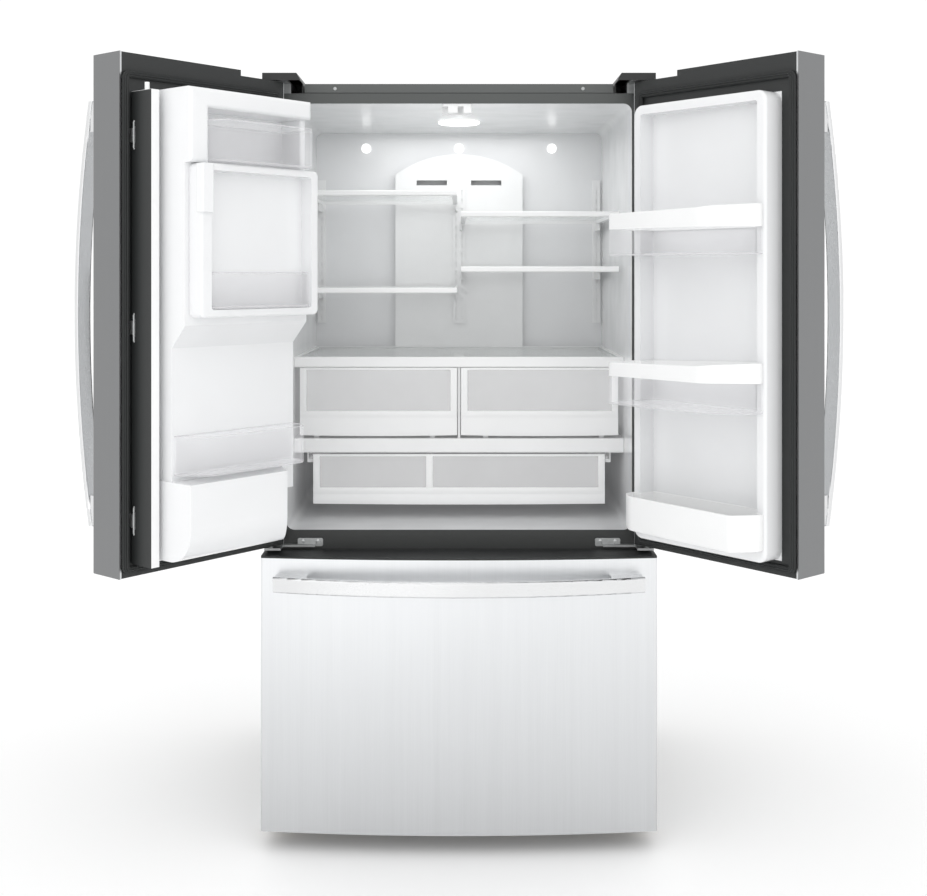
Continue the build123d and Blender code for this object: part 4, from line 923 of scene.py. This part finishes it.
class FRIDGE_OT_door_bins(bpy.types.Operator):
    """Makes the moulded bins of both doors"""

    bl_idname = "fridge.door_bins"
    bl_label = "Door bins"

    def execute(self, context):
        self.right_bins()
        self.left_bins()
        self.trough()
        return {"FINISHED"}

    def right_bins(self):
        """Two clear tubs with a white belt that rises towards its free end."""
        shape = bmesh.new()
        feet, belts = [], []
        for floor, top, belt in ((BINS_SPLIT, SKY, 0.041), (0.0, BINS_SPLIT, 0.036)):
            low, high = door_box("right_door_bins", RIGHT, floor, top)
            outline = hooked(low, high, 0.0184, [(high.x - 0.083, high.y), (low.x, high.y - 0.002)])
            loop = rounded_loop(outline, (0.006, 0.006, 0.002, 0.005, 0.016, 0.05, 0.02, 0.005, 0.002))
            add_tub(shape, loop, low.z, rising_rim(low, high), BIN_WALL)
            feet.append(foot_line(low))
            belts.append((high.z - belt, high.z + 0.02))

        def banded(finish):
            return sum((finish.z.within(*span) for span in belts), finish.z * 0.0)

        piece("right_bins", hung(shape, RIGHT), "right_door", "clear_plastic",
              clear_plastic("banded bin", colours().clear, colours().white, banded, feet),
              ["right_door_bins"])

    def left_bins(self):
        """Clear tubs of the left door and of the ice compartment's door."""
        tint, white = colours().clear, colours().white
        shape = bmesh.new()
        edges = []
        for floor, top, cuts in ((BINS_SPLIT, SKY, (0.022, 0.018, 0.022, 0.018)),
                                 (0.0, BINS_SPLIT, (0.0555, 0.046, 0.032, 0.020))):
            low, high = door_box("left_door_bins", LEFT, floor, top)
            loop = rounded_loop(chamfered(low, high, cuts), (0.004, 0.004, 0.014, 0.02, 0.02, 0.014))
            add_tub(shape, loop, low.z, high.z, BIN_WALL)
            edges += [foot_line(low), rim_line(high)]
        clear = clear_plastic("clear bin", tint, white, no_band, edges)
        piece("left_bins", hung(shape, LEFT), "left_door", "clear_plastic", clear, ["left_door_bins"])
        shape = bmesh.new()
        low, high = door_box("ice_door_bin", LEFT)
        loop = rounded_loop(chamfered(low, high, (0.018, 0.016, 0.018, 0.016)),
                            (0.004, 0.004, 0.012, 0.014, 0.014, 0.012))
        add_tub(shape, loop, low.z, high.z, BIN_WALL)
        piece("ice_bin", hung(shape, LEFT), "ice_door", "clear_plastic",
              clear_plastic("ice door bin", tint, white, no_band, [foot_line(low), rim_line(high)]),
              ["ice_door_bin"])
        dress(clear, "ice_bucket")

    def trough(self):
        """White trough at the bottom of the right door."""
        shape = bmesh.new()
        low, high = door_box("right_door_trough", RIGHT)
        nose = [(high.x - 0.033, high.y), (low.x + 0.03, high.y - 0.016), (low.x, low.y + 0.069)]
        loop = rounded_loop(hooked(low, high, 0.0204, nose),
                            (0.006, 0.006, 0.002, 0.004, 0.02, 0.02, 0.04, 0.01, 0.004, 0.002))
        add_tub(shape, loop, low.z, high.z, BIN_WALL, 0.006)
        piece("right_trough", hung(shape, RIGHT), "right_door", "white_part", white_part(),
              ["right_door_trough"])


class FRIDGE_OT_drawers(bpy.types.Operator):
    """Finishes the clear drawers and makes their white fronts"""

    bl_idname = "fridge.drawers"
    bl_label = "Drawers"

    def execute(self, context):
        milky = [0.3 * c + 0.67 for c in colours().clear]
        post, flange = 0.008, 0.011
        for node, band, posts in (("left_crisper", 0.060, ()), ("right_crisper", 0.060, ()),
                                  ("deli_drawer", 0.040, (-0.073,))):
            low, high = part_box(node)
            edges = [(low.z - 0.001, low.z + 0.004), rim_line(high)]
            # 0.34 is the milky base density, 0.1 the painted glow
            dress(clear_plastic(node + " clear", milky, colours().white, no_band, edges, 0.34, 0.1), node)
            inset = flange if node == "deli_drawer" else 0.0
            left, right, back = low.x + inset, high.x - inset, low.y + 0.0002
            shape = bmesh.new()
            self.band(shape, left, right, low.y, low.z, low.z + band)
            for place in (left + post, right - post, *posts):
                add_block(shape, (place - post, low.y - 0.0016, low.z + band - 0.003),
                          (place + post, back, high.z - 0.001), 0.0007)
            add_block(shape, (left, low.y - 0.0012, high.z - 0.005), (right, back, high.z), 0.0005)
            piece(node + "_front", outward(shape), node, "white_part", white_part())
        return {"FINISHED"}

    def band(self, shape, left, right, face, floor, top):
        """Pull band with a rolled lip along its top, a sagging lower edge and thinner ends."""
        profile = [(0.0002, floor), (-0.0010, floor), (-0.0018, floor + 0.003),
                   (-0.0018, floor + 0.020), (-0.0009, top - 0.018), (-0.0009, top - 0.0155),
                   (-0.0019, top - 0.014), (-0.0020, top - 0.002), (-0.0012, top), (0.0002, top)]
        sag, count = 0.0021, 24
        rings = []
        for step in range(count + 1):
            t = step / count
            thin = 0.35 + 0.65 * min(1.0, min(t, 1 - t) * 30)
            drop = sag * (1 - (2 * t - 1) ** 2)
            rings.append([(left + (right - left) * t, face + min(0.0002, depth * thin),
                           height - (drop if height < floor + 0.01 else 0)) for depth, height in profile])
        add_loft(shape, rings)


class FRIDGE_OT_dispenser(bpy.types.Operator):
    """Finishes the dispenser in the left door"""

    bl_idname = "fridge.dispenser"
    bl_label = "Dispenser"

    def execute(self, context):
        dress(black_plastic(), "dispenser_recess", "dispenser_paddle")
        low, high = door_box("dispenser_recess", LEFT)
        face, top, margin, first = low.y, high.z, 0.010, 0.030
        shape = bmesh.new()
        add_block(shape, (low.x + margin, face - 0.0014, top - 0.056),
                  (high.x - margin, face + 0.001, top - 0.008), 0.0011)
        piece("touch_panel", hung(shape, LEFT), "left_door", "black_plastic",
              material("touch glass", touch_glass))
        dot = bmesh.new()
        count = 6
        add_turned(dot, [(0.0024, 0.0), (0.0024, 0.0004), (0.0019, 0.0008)],
                   (low.x + first, top - 0.032, face - 0.0013), (0, 0, -1), 14)
        glow = material("indicator", lit, (0.75, 0.82, 0.88), 0.05, (0.75, 0.88, 1.0), 200.0,
                        (0.3, 0.1), (0.0002, 0.1))
        remapped(row("indicator_dots", dot, "left_door", "lens", glow, count,
                     (high.x - low.x - 2 * first) / (count - 1)), on_open_door(LEFT))
        return {"FINISHED"}


class FRIDGE_OT_freezer(bpy.types.Operator):
    """Makes the wire basket and the slotted cover at the back of the freezer"""

    bl_idname = "fridge.freezer"
    bl_label = "Freezer"

    def execute(self, context):
        low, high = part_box("upper_basket")
        self.coated = material("coated wire", moulded, colours().white, 0.32, 0.15)
        self.rods = rod_recipe(self.coated)
        wire, pitch, first = sizes().wire, sizes().wire_pitch, 0.015
        edge = wire / 2
        x0, x1, y0, y1 = low.x + edge, high.x - edge, low.y + edge, high.y - edge
        z0, z1 = low.z + edge + wire, high.z - edge
        start = y0 + first
        cross = [(x0, start, z1), (x0, start, z0), (x1, start, z0), (x1, start, z1)]
        count = int((y1 - y0 - 2 * first) / pitch)
        self.wires("basket_cross_wires", cross, False, wire, 0.014, Count=count + 1,
                   Step_Y=(y1 - y0 - 2 * first) / count)
        start, under = x0 + first, z0 - wire
        along = [(start, y0, z1), (start, y0, under), (start, y1, under), (start, y1, z1)]
        count = int((x1 - x0 - 2 * first) / (2 * pitch))
        self.wires("basket_long_wires", along, False, wire, 0.014, Count=count + 1,
                   Step_X=(x1 - x0 - 2 * first) / count)
        for name, height, thick in (("basket_rim", z1, wire * 1.5), ("basket_belt", (z0 + z1) / 2, wire)):
            ring = [(x, y, height) for x, y in frame_corners(x0, x1, y0, y1, 0.0)]
            self.wires(name, ring, True, thick, 0.02)
        self.cover()
        return {"FINISHED"}

    def wires(self, name, path, closed, thick, corner, **steps):
        """Basket wires bent along a path."""
        self.rods.grow(name, loop_mesh(name, path, closed), "upper_basket", "clear_plastic", self.coated,
                       ["upper_basket"], Thickness=thick, Corner=corner, **steps)

    def cover(self):
        """Panel before the evaporator, with a row of air slots high and low."""
        low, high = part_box("evaporator")
        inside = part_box("freezer_liner")[1].x - 0.008
        front, back = low.y - 0.014, low.y - 0.010
        top, bar, count = high.z + 0.06, 0.007, 42
        levels = (low.z - 0.008, low.z + 0.012, low.z + 0.042, high.z - 0.02, high.z + 0.02, top)
        shape = bmesh.new()
        for floor, ceiling in zip(levels[::2], levels[1::2]):
            add_block(shape, (-inside, front, floor), (inside, back, ceiling), 0.001)
        add_block(shape, (-inside, back, top - 0.004), (inside, back + 0.05, top), 0.001)
        piece("evaporator_cover", outward(shape), "cabinet", "white_part", white_part())
        bars = bmesh.new()
        for floor, ceiling in zip(levels[1:4:2], levels[2:5:2]):
            add_block(bars, (-inside, front, floor - 0.001), (-inside + bar, back, ceiling + 0.001), 0.0008)
        row("evaporator_cover_bars", bars, "cabinet", "white_part", white_part(), count,
            (2 * inside - bar) / (count - 1))


class FRIDGE_OT_machine_room(bpy.types.Operator):
    """Finishes the compressor, the coils and the fans"""

    bl_idname = "fridge.machine_room"
    bl_label = "Machine room"

    def execute(self, context):
        dress(material("black enamel", painted, (0.012, 0.012, 0.013), 0.3), "compressor")
        dress(black_plastic(), "condenser_fan")
        dress(material("fins", plated, (0.72, 0.73, 0.74), 0.3), "evaporator")
        return {"FINISHED"}


class FRIDGE_OT_rear(bpy.types.Operator):
    """Makes the rear panel's screws and stiffening beads"""

    bl_idname = "fridge.rear"
    bl_label = "Rear panel"

    def execute(self, context):
        low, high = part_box("back_panel")
        corners = frame_corners(low.x, high.x, low.z, high.z, 0.012)
        plate = zinc()
        screw_recipe(plate).grow("rear_screws", loop_mesh("screws", [(x, high.y, z) for x, z in corners]),
                                 "cabinet", "zinc", plate, Head=sizes().screw_head,
                                 Pitch=sizes().screw_pitch)
        first, pitch, half, proud, count = -0.36, 0.18, 0.011, 0.0022, 12
        start, end = low.z + 0.33, high.z - 0.14
        rings = []
        for step in range(count + 1):
            t = step / count
            height = start + (end - start) * t
            scale = min(1.0, math.sqrt(min(t, 1 - t) * 12 + 0.02))
            rings.append([(first + half * scale * math.cos(a), high.y + proud * scale * math.sin(a), height)
                          for a in (math.pi * k / 8 for k in range(9))])
        bead = bmesh.new()
        add_loft(bead, rings)
        row("rear_beads", outward(bead), "cabinet", "galvanised",
            bpy.data.materials["galvanised sheet"], 5, pitch)
        return {"FINISHED"}


class FRIDGE_OT_stage(bpy.types.Operator):
    """Makes the floor, the lights, the world and the camera"""

    bl_idname = "fridge.stage"
    bl_label = "Stage"

    def execute(self, context):
        scene = context.scene
        scene.view_settings.view_transform = "Standard"
        floor = bmesh.new()
        bmesh.ops.create_grid(floor, x_segments=2, y_segments=2, size=60.0)
        obj = linked("floor", as_mesh("floor", floor))
        finish = Finish("studio floor")
        dust = finish.noise(2.0, detail=2.0)
        obj.data.materials.append(finish.done(
            Base_Color=finish.toned((0.955, 0.955, 0.955), dust, 0.01), Roughness=0.7,
            Emission_Color=(1.0, 1.0, 1.0, 1.0), Emission_Strength=sizes().floor_glow))
        world = bpy.data.worlds.new("studio")
        scene.world = world
        world.use_nodes = True
        background = world.node_tree.nodes["Background"]
        background.inputs["Color"].default_value = (1.0, 1.0, 1.0, 1.0)
        background.inputs["Strength"].default_value = 1.05
        key = sizes().key_power
        area_light("key", (-1.2, -3.4, 3.4), (0, 0, 1.0), 2.4, key)
        area_light("fill", (1.6, -3.6, 1.6), (0, 0, 1.0), 2.4, key * 0.4)
        area_light("low fill", (-0.9, -3.2, 0.6), (0, 0.2, 0.85), 1.6, key * 0.3)
        area_light("inside", (0.0, 0.33, 1.70), (0.0, 0.36, 0.9), 0.5, sizes().cavity_power)
        camera = bpy.data.cameras.new("camera")
        camera.sensor_width = 36.0
        camera.lens = 50.12
        camera.shift_x = 0.00485
        camera.shift_y = -0.188
        eye = linked("camera", camera)
        eye.location = (0.0, -3.0374, 1.3186)
        eye.rotation_euler = (math.radians(90), 0, 0)
        scene.camera = eye
        return {"FINISHED"}


def area_light(name, place, target, size, power):
    """Large soft lamp that faces a point."""
    lamp = bpy.data.lights.new(name, "AREA")
    lamp.size = size
    lamp.energy = power
    obj = linked(name, lamp)
    obj.location = place
    obj.rotation_euler = (Vector(target) - Vector(place)).to_track_quat("-Z", "Y").to_euler()


class FRIDGE_PT_panel(bpy.types.Panel):
    """Sizes, colours and pieces of the refrigerator"""

    bl_idname = "FRIDGE_PT_panel"
    bl_label = "Refrigerator"
    bl_space_type = "VIEW_3D"
    bl_region_type = "UI"
    bl_category = "Refrigerator"

    def draw(self, context):
        for group in (context.scene.fridge_colours, context.scene.fridge_sizes):
            column = self.layout.column(align=True)
            for name in group.__annotations__:
                column.prop(group, name)
        for step in STEPS:
            self.layout.operator(step.bl_idname)


STEPS = (
    FRIDGE_OT_stage, FRIDGE_OT_cabinet, FRIDGE_OT_linings, FRIDGE_OT_fronts, FRIDGE_OT_seals,
    FRIDGE_OT_flap, FRIDGE_OT_door_bins, FRIDGE_OT_drawers, FRIDGE_OT_dispenser,
    FRIDGE_OT_freezer, FRIDGE_OT_machine_room, FRIDGE_OT_rear,
)
CLASSES = (FridgeColours, FridgeSizes, *STEPS, FRIDGE_PT_panel)


def register():
    """Registers the add-on's classes and properties."""
    for item in CLASSES:
        bpy.utils.register_class(item)
    bpy.types.Scene.fridge_colours = PointerProperty(type=FridgeColours)
    bpy.types.Scene.fridge_sizes = PointerProperty(type=FridgeSizes)


def unregister():
    """Takes the add-on's properties and classes away."""
    del bpy.types.Scene.fridge_sizes
    del bpy.types.Scene.fridge_colours
    for item in reversed(CLASSES):
        bpy.utils.unregister_class(item)


def main():
    """Registers the add-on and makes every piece."""
    register()
    for step in STEPS:
        group, action = step.bl_idname.split(".")
        getattr(getattr(bpy.ops, group), action)()


if __name__ == "__main__":
    main()
